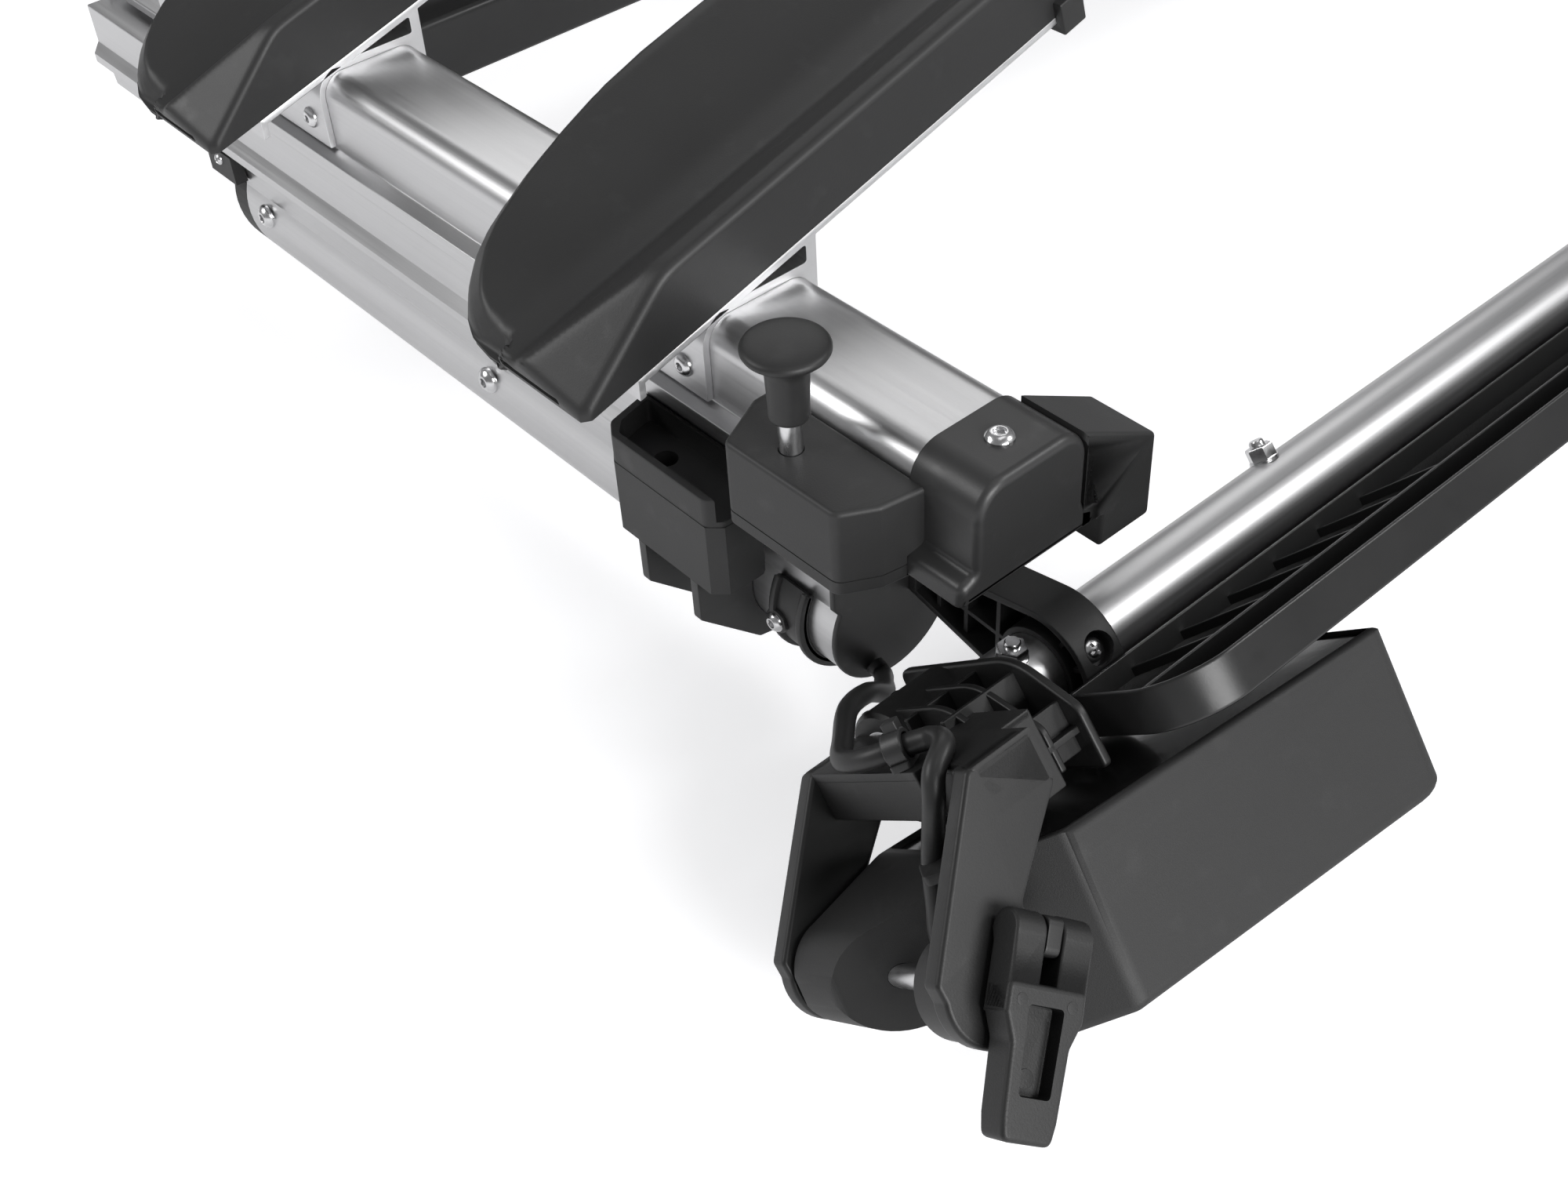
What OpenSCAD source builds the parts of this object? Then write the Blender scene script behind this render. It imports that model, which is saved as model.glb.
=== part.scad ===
// Two-bike hitch carrier: fixed frame on the tow ball, sliding tray carriage, folding light boards.
// Origin at the tow ball's centre, +Y towards the car, +X to the right seen from behind.

/* [Layout] */
// Distance from the centre plane to each rail's own centre plane
rail_x = 500; // [450:5:550]
// Distance of the tow ball's centre ahead of the end cap's screw
ball_ahead = 700; // [690:5:760]
// Height of the end cap's top above the tow ball's centre
ball_below = 150; // [146:1:170]
// Distance from the end cap's screw to the rear tray support
tray_start = 118.5; // [114:0.5:122]
// Distance between the two rows of trays
tray_pitch = 260.5; // [256:0.5:262]

/* [Upper rail] */
// Width of the sliding rail
upper_w = 49.5; // [48:0.5:51]
// Height of the sliding rail
upper_h = 44; // [43:0.5:45]
// Wall of the sliding rail
upper_wall = 3; // [2.6:0.1:3.2]
// Front end of the sliding rail, from the end cap's screw
upper_end = 536; // [534:1:545]

/* [Lower rail] */
// Width of the fixed rail
lower_w = 60; // [58:0.5:61]
// Wall of the fixed rail
lower_wall = 2.5; // [2.2:0.1:3]
// Radius of the fixed rail's round underside
belly_r = 30; // [29.5:0.1:30]
// Front end of the fixed rail, from the end cap's screw
lower_end = 620; // [619:1:640]

/* [Trays] */
// Slope of the tray supports, in degrees
tray_slope = 16; // [14:0.5:18]
// Depth of a tray support along the rail
support_depth = 100; // [90:1:105]
// Thickness of the support's sloping plate
plate_t = 3; // [2.6:0.1:3.4]
// Width of a wheel tray
tray_w = 115; // [110:1:118]
// Length of a wheel tray along its slope
tray_len = 320; // [280:5:360]
// Wall of a wheel tray
tray_wall = 3; // [2.5:0.1:3.5]

/* [Light bar] */
// Diameter of the light bar's tube
tube_d = 30; // [29:0.5:30.5]
// Wall of the light bar's tube
tube_wall = 2; // [1.5:0.1:3]
// Tilt of the light boards from upright, in degrees
bar_tilt = 50; // [48:0.5:52]
// Depth of a lamp from lens to back
lamp_d = 63; // [60:0.5:65]
// Height of a lamp
lamp_h = 84; // [80:0.5:85]
// Reach of a lamp from its hinge pin
lamp_len = 203; // [190:1:220]
// Diameter of the lamp's hinge pin
lamp_pin_d = 8; // [6:0.5:9]
// Diameter of the lamp's cable
cable_d = 7.5; // [6:0.5:8]

/* [Locking pins] */
// Diameter of a locking pin
lock_pin_d = 8.5; // [7:0.5:9]
// Diameter of a pull knob
knob_d = 30.5; // [26:0.5:34]
// Forward travel from this position to the lock
lock_travel = 73; // [72:0.5:74]

/* [Coupling] */
// Diameter of the tow ball that the coupling takes
ball_d = 50; // [49.5:0.1:50.8]
// Play between the ball and its socket
ball_play = 0.2; // [0.1:0.05:0.4]
// Outer diameter of the coupling's head
head_d = 84; // [80:1:90]
// Length of the coupling lever
lever_len = 150; // [120:5:170]

/* [Bow] */
// Diameter of the bow's tube
bow_d = 30; // [28:0.5:31]
// Wall of the bow's tube
bow_wall = 2; // [1.5:0.1:3]
// Distance between the centre lines of the bow's legs
bow_w = 500; // [460:10:540]
// Height of the bow above its hinge
bow_h = 680; // [665:5:700]
// Reach of the short frame holder
short_reach = 190; // [170:5:220]
// Reach of the long frame holder
long_reach = 400; // [350:5:430]

/* [Hidden] */
$fn = 48;

// Clearance between pieces that slide or turn on each other
gap = 0.3;
// Radial clearance of a pin in its bore
fit = 0.05;
// Overshoot of a cut past the face that it opens
cut = 1;

// Heights of the rails, down from the end cap's top
cap_wall = 2;
upper_top = -cap_wall;
upper_bottom = upper_top - upper_h;
upper_start = -12;
upper_corner = 10.5;
lip_out = 6.75;
lip_top = upper_bottom + 7.5;
slot_half = 12;
lower_top = upper_bottom - gap;
lower_start = 52;
belly_z = -111;
crease_z = -97;
bead_z = -72;
bead_out = 4;
head_half = slot_half + 5;
head_t = 5;
end_face = 50;

// Tray support saddle
saddle_wall = 3;
plate_x = 21;
plate_z = 12.4;
plate_outer = -57;
plate_hook = 6;
plate_inner = 200;
tray_near_h = 31;
tray_far_h = 20;
tray_valley = 41;
tray_floor_w = 16;
tray_floor_h = 7;
tray_nose = 106;

// Light bar
tube_y = -15.2;
tube_z = -101;
tube_r = tube_d / 2;
tube_over = 62;
clamp_x0 = 7.2;
clamp_x1 = 26.8;
clamp_r = 26.3;
screw_turn = 48;
pin_u = -113;
pin_w = 45;
arm_t = 8;
far_v = -14;
near_v = far_v + arm_t + 2 * gap + lamp_h;
boss_len = 12;
lens_b = -26;
lamp_turn = -4.4;
knuckle_r = 18;

// Locking pins
lock_x = -43;
lock_y = 54;
knob_z = 31;
block_top = -11.3;
block_seam = -47;
floor_z = -57.5;
pin_tip = floor_z + 1.5;
collar_r = 5.4;

// Beams
beam_h = 36;
beam_wall = 2;
beam_top = -52;
front_y0 = lower_end - 42;
front_y1 = lower_end - 2;
middle_y0 = 480;
middle_y1 = 520;
carriage_beam = 30;
carriage_top = -6;
bow_hinge_y = upper_end - 19;
bow_hinge_z = 20;
rear_beam_y = 238;
spine_w = 80;
spine_h = 50;
spine_wall = 4;
spine_front = 60;

function arc(c, r, a0, a1, n) =
    [for (i = [0:n]) c + r * [cos(a0 + (a1 - a0) * i / n), sin(a0 + (a1 - a0) * i / n)]];
function flip(p) = [for (i = [len(p) - 1:-1:0]) [-p[i][0], p[i][1]]];

module left() { translate([-rail_x, -ball_ahead, ball_below]) children(); }
module right() { mirror([1, 0, 0]) left() children(); }
module both() {
    left() children();
    right() children();
}
module along_y(y0, y1) { translate([0, y1, 0]) rotate([90, 0, 0]) linear_extrude(y1 - y0) children(); }
module along_x(x0, x1) { translate([x0, 0, 0]) rotate([90, 0, 90]) linear_extrude(x1 - x0) children(); }
module box(low, high) { translate(low) cube(high - low); }
module bar() { translate([0, tube_y, tube_z]) rotate([90 + bar_tilt, 0, 0]) children(); }
module slope(y) { translate([plate_x, y, plate_z]) rotate([0, -tray_slope, 0]) children(); }

// Fixed rail: a D-shaped profile with a T head that the sliding rail hooks under
function belly(r) = let (a = asin((crease_z - belly_z) / r)) arc([0, belly_z], r, a, -180 - a, 30);
function lower_side(grow) = let (half = lower_w / 2 + grow) concat(
    [[half, lower_top], [half, crease_z + 5]], belly(belly_r + grow),
    [[-half + 2, bead_z - 6], [-half - bead_out, bead_z - 5], [-half - bead_out, bead_z],
    [-half, bead_z + 5.5], [-half, lower_top]]);
module lower_outline(grow = 0) { polygon(lower_side(grow)); }
module lower_profile() {
    half = lower_w / 2 - lower_wall;
    neck = slot_half - 3;
    head_z = upper_bottom + upper_wall + gap;
    head_side = [[head_half, head_z + head_t], [head_half, head_z], [neck, head_z], [neck, lower_top]];
    difference() {
        polygon(concat(lower_side(0), flip(head_side), head_side));
        polygon(concat([[-half, lower_top - lower_wall], [half, lower_top - lower_wall],
            [half, crease_z + 4]], belly(belly_r - lower_wall),
            [[-half + 2, bead_z - 8], [-half, bead_z - 4]]));
    }
}
belly_cut_low = 470;
belly_cut_high = 486;
belly_cut_z = -92;
module belly_cut(shift) {
    along_x(-rail_x / 4, rail_x / 4)
        polygon([[belly_cut_low + shift, -160], [belly_cut_high + shift, belly_cut_z],
            [lower_end + 20, belly_cut_z], [lower_end + 20, -160]]);
}
bolt_y = [273, 463];
bolt_z = -105;
bolt_x = -sqrt(belly_r * belly_r - pow(bolt_z - belly_z, 2));
bolt_head = 12;
bolt_r = 3;
head_trim = 10;
module lower_rail() {
    difference() {
        along_y(lower_start, lower_end) lower_profile();
        box([-lower_w / 2, lower_start - cut, lower_top], [lower_w / 2, lower_start + head_trim, 0]);
        belly_cut(0);
        for (y = bolt_y) translate([bolt_x, y, bolt_z]) rotate([0, 90, 0]) {
            translate([0, 0, -5]) cylinder(d = bolt_head + 1, h = 5);
            cylinder(r = bolt_r + fit, h = 9);
        }
    }
}
module left_lower_rail() { color([0.78, 0.79, 0.8]) left() lower_rail(); }
module right_lower_rail() { color([0.78, 0.79, 0.8]) right() lower_rail(); }

// Black D-shaped cap on the rear end of the fixed rail
cap_skirt = 0;
cap_skin = 0.6;
module rail_end_cap() {
    along_y(end_face, lower_start) lower_outline();
    along_y(end_face, lower_start + cap_skirt) difference() {
        lower_outline(cap_skin);
        lower_outline();
        translate([-lower_w, bead_z - 8]) square([2 * lower_w, 40]);
    }
}
module rail_end_caps() { color([0.08, 0.08, 0.09]) both() rail_end_cap(); }

// Black plug in the slanted front end of the fixed rail's belly, with its small bracket
module rail_front_end() {
    difference() {
        intersection() {
            along_y(belly_cut_low - 40, belly_cut_high + 30) polygon(concat(
                [[lower_w / 2, belly_cut_z]], belly(belly_r), [[-lower_w / 2, belly_cut_z]]));
            belly_cut(0);
        }
        belly_cut(12);
    }
    along_y(belly_cut_high - 6, belly_cut_high + 18) polygon([[-lower_w / 2 - 4, bead_z - 6.3],
        [-lower_w / 2 + 1.6, bead_z - 6.3], [-lower_w / 2 + 2.6, belly_cut_z - 1],
        [-lower_w / 2 - 4, belly_cut_z - 1]]);
}
module rail_front_ends() { color([0.08, 0.08, 0.09]) both() rail_front_end(); }

// Receiver that the locking pin drops into when the carriage is pushed home
receiver_wall = 3;
block_low = -93;
trough_in = -30.3;
trough_wall = 2;
module lock_block() {
    x0 = -56;
    y0 = lock_y + lock_travel - 43;
    y1 = lock_y + lock_travel + 27;
    x1 = -lower_w / 2 - lip_out + 2.5;
    inner = -lower_w / 2;
    low = block_low;
    hole = [lock_x, lock_y + lock_travel];
    difference() {
        union() {
            translate([0, 0, low]) linear_extrude(block_seam - low)
                polygon([[x1, y1], [x0 + 5, y1 - 5], [x0, y1 - 12], [x0, y0 + 5], [x0 + 5, y0], [x1, y0]]);
            box([x1 - cut, y0 + 4, low], [inner, y1 - 8, bead_z - 8]);
            box([x1 - cut, y0 + 4, bead_z + 6], [inner, y1 - 8, floor_z]);
            box([x1 - cut, y0, floor_z - 3], [trough_in, y1, block_seam]);
        }
        translate([0, 0, floor_z]) linear_extrude(20) polygon([
            [trough_in - trough_wall, y1 - receiver_wall - 1], [x0 + 5 + receiver_wall,
                y1 - 5 - receiver_wall], [x0 + receiver_wall, y1 - 13],
            [x0 + receiver_wall, y0 - cut], [trough_in - trough_wall, y0 - cut]]);
        translate([hole[0], hole[1], low - cut]) cylinder(d = lock_pin_d + 2 * gap, h = 60);
        box([x0 - cut, y0 - cut, floor_z + 0.1], [x0 + receiver_wall + cut, y0 + 6, -30]);
    }
}
module lock_blocks() { color([0.1, 0.1, 0.11]) both() lock_block(); }

// Black band round the fixed rail with a lug for its screw, and the lock block's two saddle plates
band_y0 = 65.5;
band_y1 = 83.5;
band_flange = 3;
band_t = 2.4;
band_flange_t = 4.4;
saddle_y = [97.3, 128.5];
saddle_t = 4.5;
saddle_out = -56;
saddle_low = -112;
screw_y = 80;
screw_z = -115;
lug_x = -34;
lug_r = 5.5;
module rail_band(y0, y1, t) {
    a = asin((crease_z - belly_z) / belly_r);
    along_y(y0, y1) polygon(concat(arc([0, belly_z], belly_r + t, a, -180 - a, 30),
        arc([0, belly_z], belly_r, -180 - a, a, 30)));
}
module band_lug() {
    difference() {
        along_x(lug_x, -belly_r + 3) translate([screw_y, screw_z]) circle(r = lug_r);
        along_y(screw_y - lug_r - cut, screw_y + lug_r + cut) lower_outline();
    }
}
module saddle_plate(y) {
    along_y(y, y + saddle_t) difference() {
        polygon([[saddle_out, block_low], [saddle_out, saddle_low], [-28, -139], [-14, -142],
            [-14, block_low]]);
        lower_outline();
    }
}
module rail_bands() {
    color([0.08, 0.08, 0.09]) both() {
        rail_band(band_y0, band_y1, band_t);
        rail_band(band_y0, band_y0 + band_flange, band_flange_t);
        rail_band(band_y1 - band_flange, band_y1, band_flange_t);
        band_lug();
        for (y = saddle_y) saddle_plate(y);
    }
}

// Clamp rings that carry the light bar on arms from the end caps
module bar_clamp() {
    difference() {
        along_x(clamp_x0, clamp_x1) union() {
            translate([tube_y, tube_z]) circle(r = clamp_r);
            polygon([[tube_y + 4, tube_z + clamp_r - 0.4], [end_face, tube_z + 14],
                [end_face, tube_z - 4.3], [tube_y + 5.2, tube_z - 19.5]]);
        }
        along_x(clamp_x0 - cut, clamp_x1 + cut) translate([tube_y, tube_z]) circle(r = tube_r);
        along_x(clamp_x0 - cut, clamp_x1 - 5) difference() {
            union() {
                translate([tube_y, tube_z]) circle(r = clamp_r - 3);
                polygon([[tube_y + 4, tube_z + clamp_r - 4], [end_face - 4, tube_z + 10.5],
                    [end_face - 4, tube_z - 2.3], [tube_y + 5.2, tube_z - 16.5]]);
            }
            translate([tube_y, tube_z]) circle(r = tube_r + 2.5);
            for (y = [6, 22, 36]) translate([tube_y + tube_r + y, tube_z - 40]) square([2, 80]);
            translate([tube_y, tube_z - 1]) rotate(-4) square([80, 2]);
        }
        translate([(clamp_x0 + clamp_x1) / 2 + 1, tube_y, tube_z]) rotate([screw_turn, 0, 0])
            translate([0, 0, clamp_r - 5]) cylinder(d = 11, h = 12);
    }
}
module bar_clamps() { color([0.1, 0.1, 0.11]) both() bar_clamp(); }
module dome(d, t) {
    intersection() {
        cylinder(d = d, h = t);
        translate([0, 0, t - d * 0.85]) sphere(r = d * 0.85);
    }
}
module hex_hole(size, depth) {
    translate([0, 0, -depth]) cylinder(d = size / cos(30), h = depth + 10, $fn = 6);
}
module clamp_screw() {
    translate([(clamp_x0 + clamp_x1) / 2 + 1, tube_y, tube_z]) rotate([screw_turn, 0, 0])
        translate([0, 0, clamp_r - 5]) difference() {
            dome(9.6, 3);
            translate([-0.6, -2.6, 1.6]) cube([1.2, 5.2, 3]);
            translate([-2.6, -0.6, 1.6]) cube([5.2, 1.2, 3]);
        }
}
module clamp_screws() { color([0.75, 0.75, 0.77]) both() clamp_screw(); }

// Button-head bolts along the fixed rail, and the band's screw
module button(d, t, hex) {
    difference() {
        dome(d, t);
        translate([0, 0, t]) hex_hole(hex, t * 0.6);
    }
}
module rail_bolt(y) {
    translate([bolt_x, y, bolt_z]) rotate([0, -90, 0]) {
        button(bolt_head, 3.6, 4);
        translate([0, 0, -9]) cylinder(r = bolt_r, h = 9 + cut);
    }
}
module rail_bolts() {
    color([0.75, 0.75, 0.77]) both() {
        for (y = bolt_y) rail_bolt(y);
        translate([-lower_w / 2 - 4, belly_cut_high + 6, belly_cut_z + 9]) rotate([0, -90, 0])
            button(6, 1.8, 2.5);
    }
}

// Square tubes across the fixed frame, and the spine that carries the coupling
module beam(y0, y1, x0, x1, z0, z1, wall) {
    along_x(x0, x1) difference() {
        translate([y0, z0]) square([y1 - y0, z1 - z0]);
        translate([y0 + wall, z0 + wall]) square([y1 - y0 - 2 * wall, z1 - z0 - 2 * wall]);
    }
}
module frame_beam(y0, y1) {
    translate([0, -ball_ahead, ball_below])
        beam(y0, y1, -rail_x + lower_w / 2, rail_x - lower_w / 2, beam_top - beam_h, beam_top, beam_wall);
}
module front_crossbeam() { color([0.2, 0.2, 0.21]) frame_beam(front_y0, front_y1); }
module middle_crossbeam() { color([0.2, 0.2, 0.21]) frame_beam(middle_y0, middle_y1); }
spine_top = ball_below + beam_top - beam_h;
spine_rear = -ball_ahead + middle_y0 - 6;
module coupling_spine() {
    color([0.2, 0.2, 0.21]) along_y(spine_rear, -spine_front) difference() {
        translate([-spine_w / 2, spine_top - spine_h]) square([spine_w, spine_h]);
        translate([-spine_w / 2 + spine_wall, spine_top - spine_h + spine_wall])
            square([spine_w - 2 * spine_wall, spine_h - 2 * spine_wall]);
    }
}

// Cast coupling with the ball's socket, the slot for the clamping jaw and the lever's ears
socket_r = ball_d / 2 + ball_play;
jaw_half = 12;
jaw_h = 12;
head_top = 45;
head_low = -14;
ear_y = -26;
ear_z = 62;
ear_half = 14;
ear_t = 7;
pivot_r = 5;
module coupling_body() {
    tongue_half = spine_w / 2 - spine_wall;
    tongue_low = spine_top - spine_h + spine_wall;
    tongue_top = spine_top - spine_wall;
    color([0.16, 0.16, 0.17]) difference() {
        union() {
            translate([0, 0, head_low]) cylinder(d = head_d, h = head_top - head_low, $fn = 72);
            box([-head_d / 2 + 6, -spine_front, head_low], [head_d / 2 - 6, 0, tongue_low]);
            box([-tongue_half, -spine_front - 70, tongue_low], [tongue_half, -spine_front + 30, tongue_top]);
            for (s = [-1, 1]) translate([s * (ear_half + ear_t / 2) - ear_t / 2, 0, 0]) {
                along_x(0, ear_t) translate([ear_y, ear_z]) circle(r = 12);
                box([0, ear_y - 12, head_top - 5], [ear_t, ear_y + 12, ear_z]);
            }
        }
        sphere(r = socket_r, $fn = 72);
        translate([0, 0, head_low - cut]) cylinder(r = socket_r, h = -head_low + cut, $fn = 72);
        box([-jaw_half, -spine_front - cut, -jaw_h], [jaw_half, -socket_r + 8, jaw_h]);
        along_x(-ear_half - ear_t - cut, ear_half + ear_t + cut)
            translate([ear_y, ear_z]) circle(r = pivot_r + fit);
        box([-ear_half, ear_y - 20, head_top], [ear_half, ear_y + 30, ear_z + 20]);
    }
}

// Jaw that the lever presses against the ball, and the lever itself
module clamping_jaw() {
    color([0.6, 0.6, 0.62]) difference() {
        box([-jaw_half + gap, -spine_front + 8, -jaw_h + gap], [jaw_half - gap, -socket_r + 6, jaw_h - gap]);
        sphere(r = socket_r, $fn = 72);
        translate([0, 0, -40]) cylinder(r = socket_r, h = 40, $fn = 72);
    }
}
module coupling_lever() {
    color([0.12, 0.12, 0.13]) union() {
        along_x(-ear_half + gap, ear_half - gap) {
            translate([ear_y, ear_z]) circle(r = 11);
            polygon([[ear_y, ear_z + 11], [ear_y + 60, ear_z + 14], [ear_y + lever_len, ear_z - 6],
                [ear_y + lever_len, ear_z - 18], [ear_y + 56, ear_z - 2], [ear_y, ear_z - 9]]);
        }
        along_x(-ear_half - ear_t - 2, ear_half + ear_t + 2) translate([ear_y, ear_z]) circle(r = pivot_r);
    }
}

// Light bar: tube, number plate holder and its bolts
module light_tube() {
    color([0.82, 0.83, 0.84]) translate([0, -ball_ahead, ball_below])
        along_x(-rail_x - tube_over, rail_x + tube_over) translate([tube_y, tube_z]) difference() {
            circle(r = tube_r);
            circle(r = tube_r - tube_wall);
        }
}
holder_out = 17;
holder_v0 = -16;
holder_v1 = 101;
holder_w0 = 0;
holder_w1 = 16;
holder_t = 2.5;
holder_round = 26;
module holder_plan(inset) {
    x = rail_x + holder_out - inset;
    r = holder_round - inset;
    top = holder_v1 - inset;
    low = holder_v0 + inset;
    polygon(concat(arc([x - r, top - r], r, 0, 90, 10), arc([-x + r, top - r], r, 90, 180, 10),
        [[-x, low], [x, low]]));
}
module plate_holder() {
    color([0.09, 0.09, 0.1]) translate([0, -ball_ahead, ball_below]) bar() difference() {
        union() {
            translate([0, 0, holder_w0]) linear_extrude(holder_w1 - holder_w0) difference() {
                holder_plan(0);
                holder_plan(holder_t);
            }
            translate([0, 0, holder_w1 - holder_t]) linear_extrude(holder_t) holder_plan(0);
            intersection() {
                translate([0, 0, holder_w0 + 6]) linear_extrude(holder_w1 - holder_w0 - 6) holder_plan(0);
                union() {
                    for (x = [-rail_x + 20:60:rail_x - 20]) box([x, holder_v0, 0], [x + 2, holder_v1, 16]);
                    for (y = [tube_r + 14, holder_v1 - 34])
                        box([-rail_x - holder_out, y, 0], [rail_x + holder_out, y + 2, 16]);
                }
            }
        }
        translate([-rail_x - 100, 0, 0]) rotate([0, 90, 0]) cylinder(r = tube_r + fit, h = 2 * rail_x + 200);
        for (s = [-1, 1]) translate([s * (rail_x - clamp_x1 / 2 - clamp_x0 / 2) - clamp_x1, 0, 0])
            rotate([0, 90, 0]) cylinder(r = clamp_r + gap, h = 2 * clamp_x1);
    }
}
module tube_bolt(x) {
    translate([x, tube_y, tube_z]) {
        translate([0, 0, tube_r]) cylinder(d = 12, h = 1.2);
        translate([0, 0, tube_r + 1.2]) cylinder(d = 10 / cos(30), h = 5, $fn = 6);
        translate([0, 0, tube_r + 6]) cylinder(d = 6, h = 2.5);
    }
}
nut_at = [-6, 146];
module tube_bolts() { color([0.75, 0.75, 0.77]) both() for (x = nut_at) tube_bolt(x); }

// Lamp bracket: hub on the tube's end, beam and two arms that carry the lamp's hinge pin
module bracket_arm(v) {
    difference() {
        along_y(v, v + arm_t) union() {
            polygon([[-88, -14], [-62, -14], [-62, 5], [pin_u + 22, pin_w - 16], [pin_u + 16, pin_w + 8],
                [pin_u - 16, pin_w + 8], [pin_u - 17, pin_w - 12]]);
            translate([pin_u, pin_w]) circle(r = knuckle_r);
        }
        along_y(v - cut, v + arm_t + cut) translate([pin_u, pin_w]) circle(d = lamp_pin_d);
    }
}
hub_u = -54;
latch_u = -95;
latch_w = 38;
latch_turn = 43;
latch_v = near_v + arm_t + 7;
module latch_frame() { translate([latch_u, latch_v, latch_w]) rotate([0, -latch_turn, 0]) children(); }
module lamp_bracket() {
    bar() {
        difference() {
            union() {
                translate([hub_u, 0, 0]) rotate([0, 90, 0]) cylinder(r = tube_r + 7, h = -26 - hub_u);
                box([-88, far_v, -14], [-tube_over, near_v + arm_t, 4]);
                box([-tube_over - cut, far_v, -14], [hub_u + 4, near_v - 6, 14]);
                box([-30, -24, -22], [-26, 66, 20]);
                box([hub_u, 20, -14], [-26, 24, 14]);
                box([hub_u, 44, -14], [-26, 48, 14]);
            }
            translate([-tube_over, 0, 0]) rotate([0, 90, 0]) cylinder(r = tube_r, h = 50);
            box([-84, far_v + arm_t, -11], [-66, 20, 5]);
            box([-84, 24, -11], [-66, 50, 5]);
            box([-80, 54, -11], [-66, near_v, 5]);
            box([-tube_over + 2, 26, -11], [hub_u + 5, near_v - 9, 15]);
            box([-88 - cut, 57, -14 - cut], [-84, 77, 5]);
        }
        bracket_arm(far_v);
        bracket_arm(near_v);
        difference() {
            along_y(near_v - boss_len, near_v + cut) translate([pin_u, pin_w]) circle(r = knuckle_r - 1);
            along_y(near_v - boss_len - cut, near_v + 2 * cut) translate([pin_u, pin_w])
                circle(d = lamp_pin_d);
        }
        latch_frame() difference() {
            box([-2.7, -8, -6], [2.7, 6, 6]);
            rotate([0, 90, 0]) cylinder(r = 3 + fit, h = 20, center = true);
        }
    }
}
module left_lamp_bracket() { color([0.1, 0.1, 0.11]) left() lamp_bracket(); }
module right_lamp_bracket() { color([0.1, 0.1, 0.11]) right() lamp_bracket(); }
module lamp_pins() {
    color([0.7, 0.7, 0.72]) both() bar() along_y(far_v, near_v + arm_t)
        translate([pin_u, pin_w]) circle(d = lamp_pin_d);
}
module latch_lever() {
    bar() latch_frame() {
        difference() {
            union() {
                for (s = [-1, 1]) translate([s * 8.5, 0, 0]) {
                    rotate([0, 90, 0]) cylinder(r = 6.5, h = 11, center = true);
                    box([-5.5, -5, 0], [5.5, 6.5, 14]);
                }
                box([-14, -5, 13], [14, 7, 24]);
                translate([0, 7, 23]) rotate([90, 0, 0]) linear_extrude(12)
                    polygon([[-14, 0], [14, 0], [10, 36], [-10, 36]]);
            }
            box([-7, 1, 17], [7, 12, 52]);
        }
        rotate([0, 90, 0]) cylinder(r = 3, h = 26, center = true);
    }
}
module left_latch_lever() { color([0.09, 0.09, 0.1]) left() latch_lever(); }
module right_latch_lever() { color([0.09, 0.09, 0.1]) right() latch_lever(); }

// Lamp: a housing that swings on the pin, and its smoked lens
lamp_low = far_v + arm_t + gap;
lamp_high = lamp_low + lamp_h;
module lamp_side() {
    back = lens_b + lamp_d;
    polygon(concat(arc([0, 0], knuckle_r, 90, 270, 16), [[30, lens_b], [lamp_len - 6, lens_b],
        [lamp_len, lens_b + 6], [lamp_len, back - 10], [lamp_len - 10, back], [26, back]]));
}
module lamp_plan(inset) {
    polygon([[lamp_len - inset, lamp_high - inset], [50 + inset / 2, lamp_high - inset],
        [-knuckle_r + inset, lamp_low + 26], [-knuckle_r + inset, lamp_low + inset],
        [lamp_len - inset, lamp_low + inset]]);
}
lens_x0 = 34;
lens_set = 2;
lens_t = 3;
lamp_wall = 2.5;
module lamp_frame() { bar() translate([pin_u, 0, pin_w]) rotate([0, lamp_turn, 0]) children(); }
module lamp_housing() {
    lamp_frame() difference() {
        intersection() {
            along_y(lamp_low, lamp_high) lamp_side();
            translate([0, 0, lens_b - cut]) linear_extrude(lamp_d + 2 * cut) lamp_plan(0);
        }
        intersection() {
            box([lens_x0, lamp_low, lens_b - 2 * cut], [lamp_len, lamp_high, lens_b + lamp_d - lamp_wall]);
            translate([0, 0, lens_b - 2 * cut]) linear_extrude(lamp_d + 2 * cut) lamp_plan(lamp_wall);
        }
        along_y(lamp_low - cut, lamp_high + cut) circle(d = lamp_pin_d + 2 * fit);
        along_y(near_v - boss_len - gap, lamp_high + cut) circle(r = knuckle_r + 2 * gap);
    }
}
module lamp_lens() {
    lamp_frame() intersection() {
        box([lens_x0, lamp_low, lens_b + lens_set], [lamp_len, lamp_high, lens_b + lens_set + lens_t]);
        translate([0, 0, lens_b]) linear_extrude(lamp_d) lamp_plan(lamp_wall);
    }
}
module left_lamp_housing() { color([0.12, 0.12, 0.13]) left() lamp_housing(); }
module right_lamp_housing() { color([0.12, 0.12, 0.13]) right() lamp_housing(); }
module left_lamp_lens() { color([0.05, 0.05, 0.06]) left() lamp_lens(); }
module right_lamp_lens() { color([0.05, 0.05, 0.06]) right() lamp_lens(); }

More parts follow.
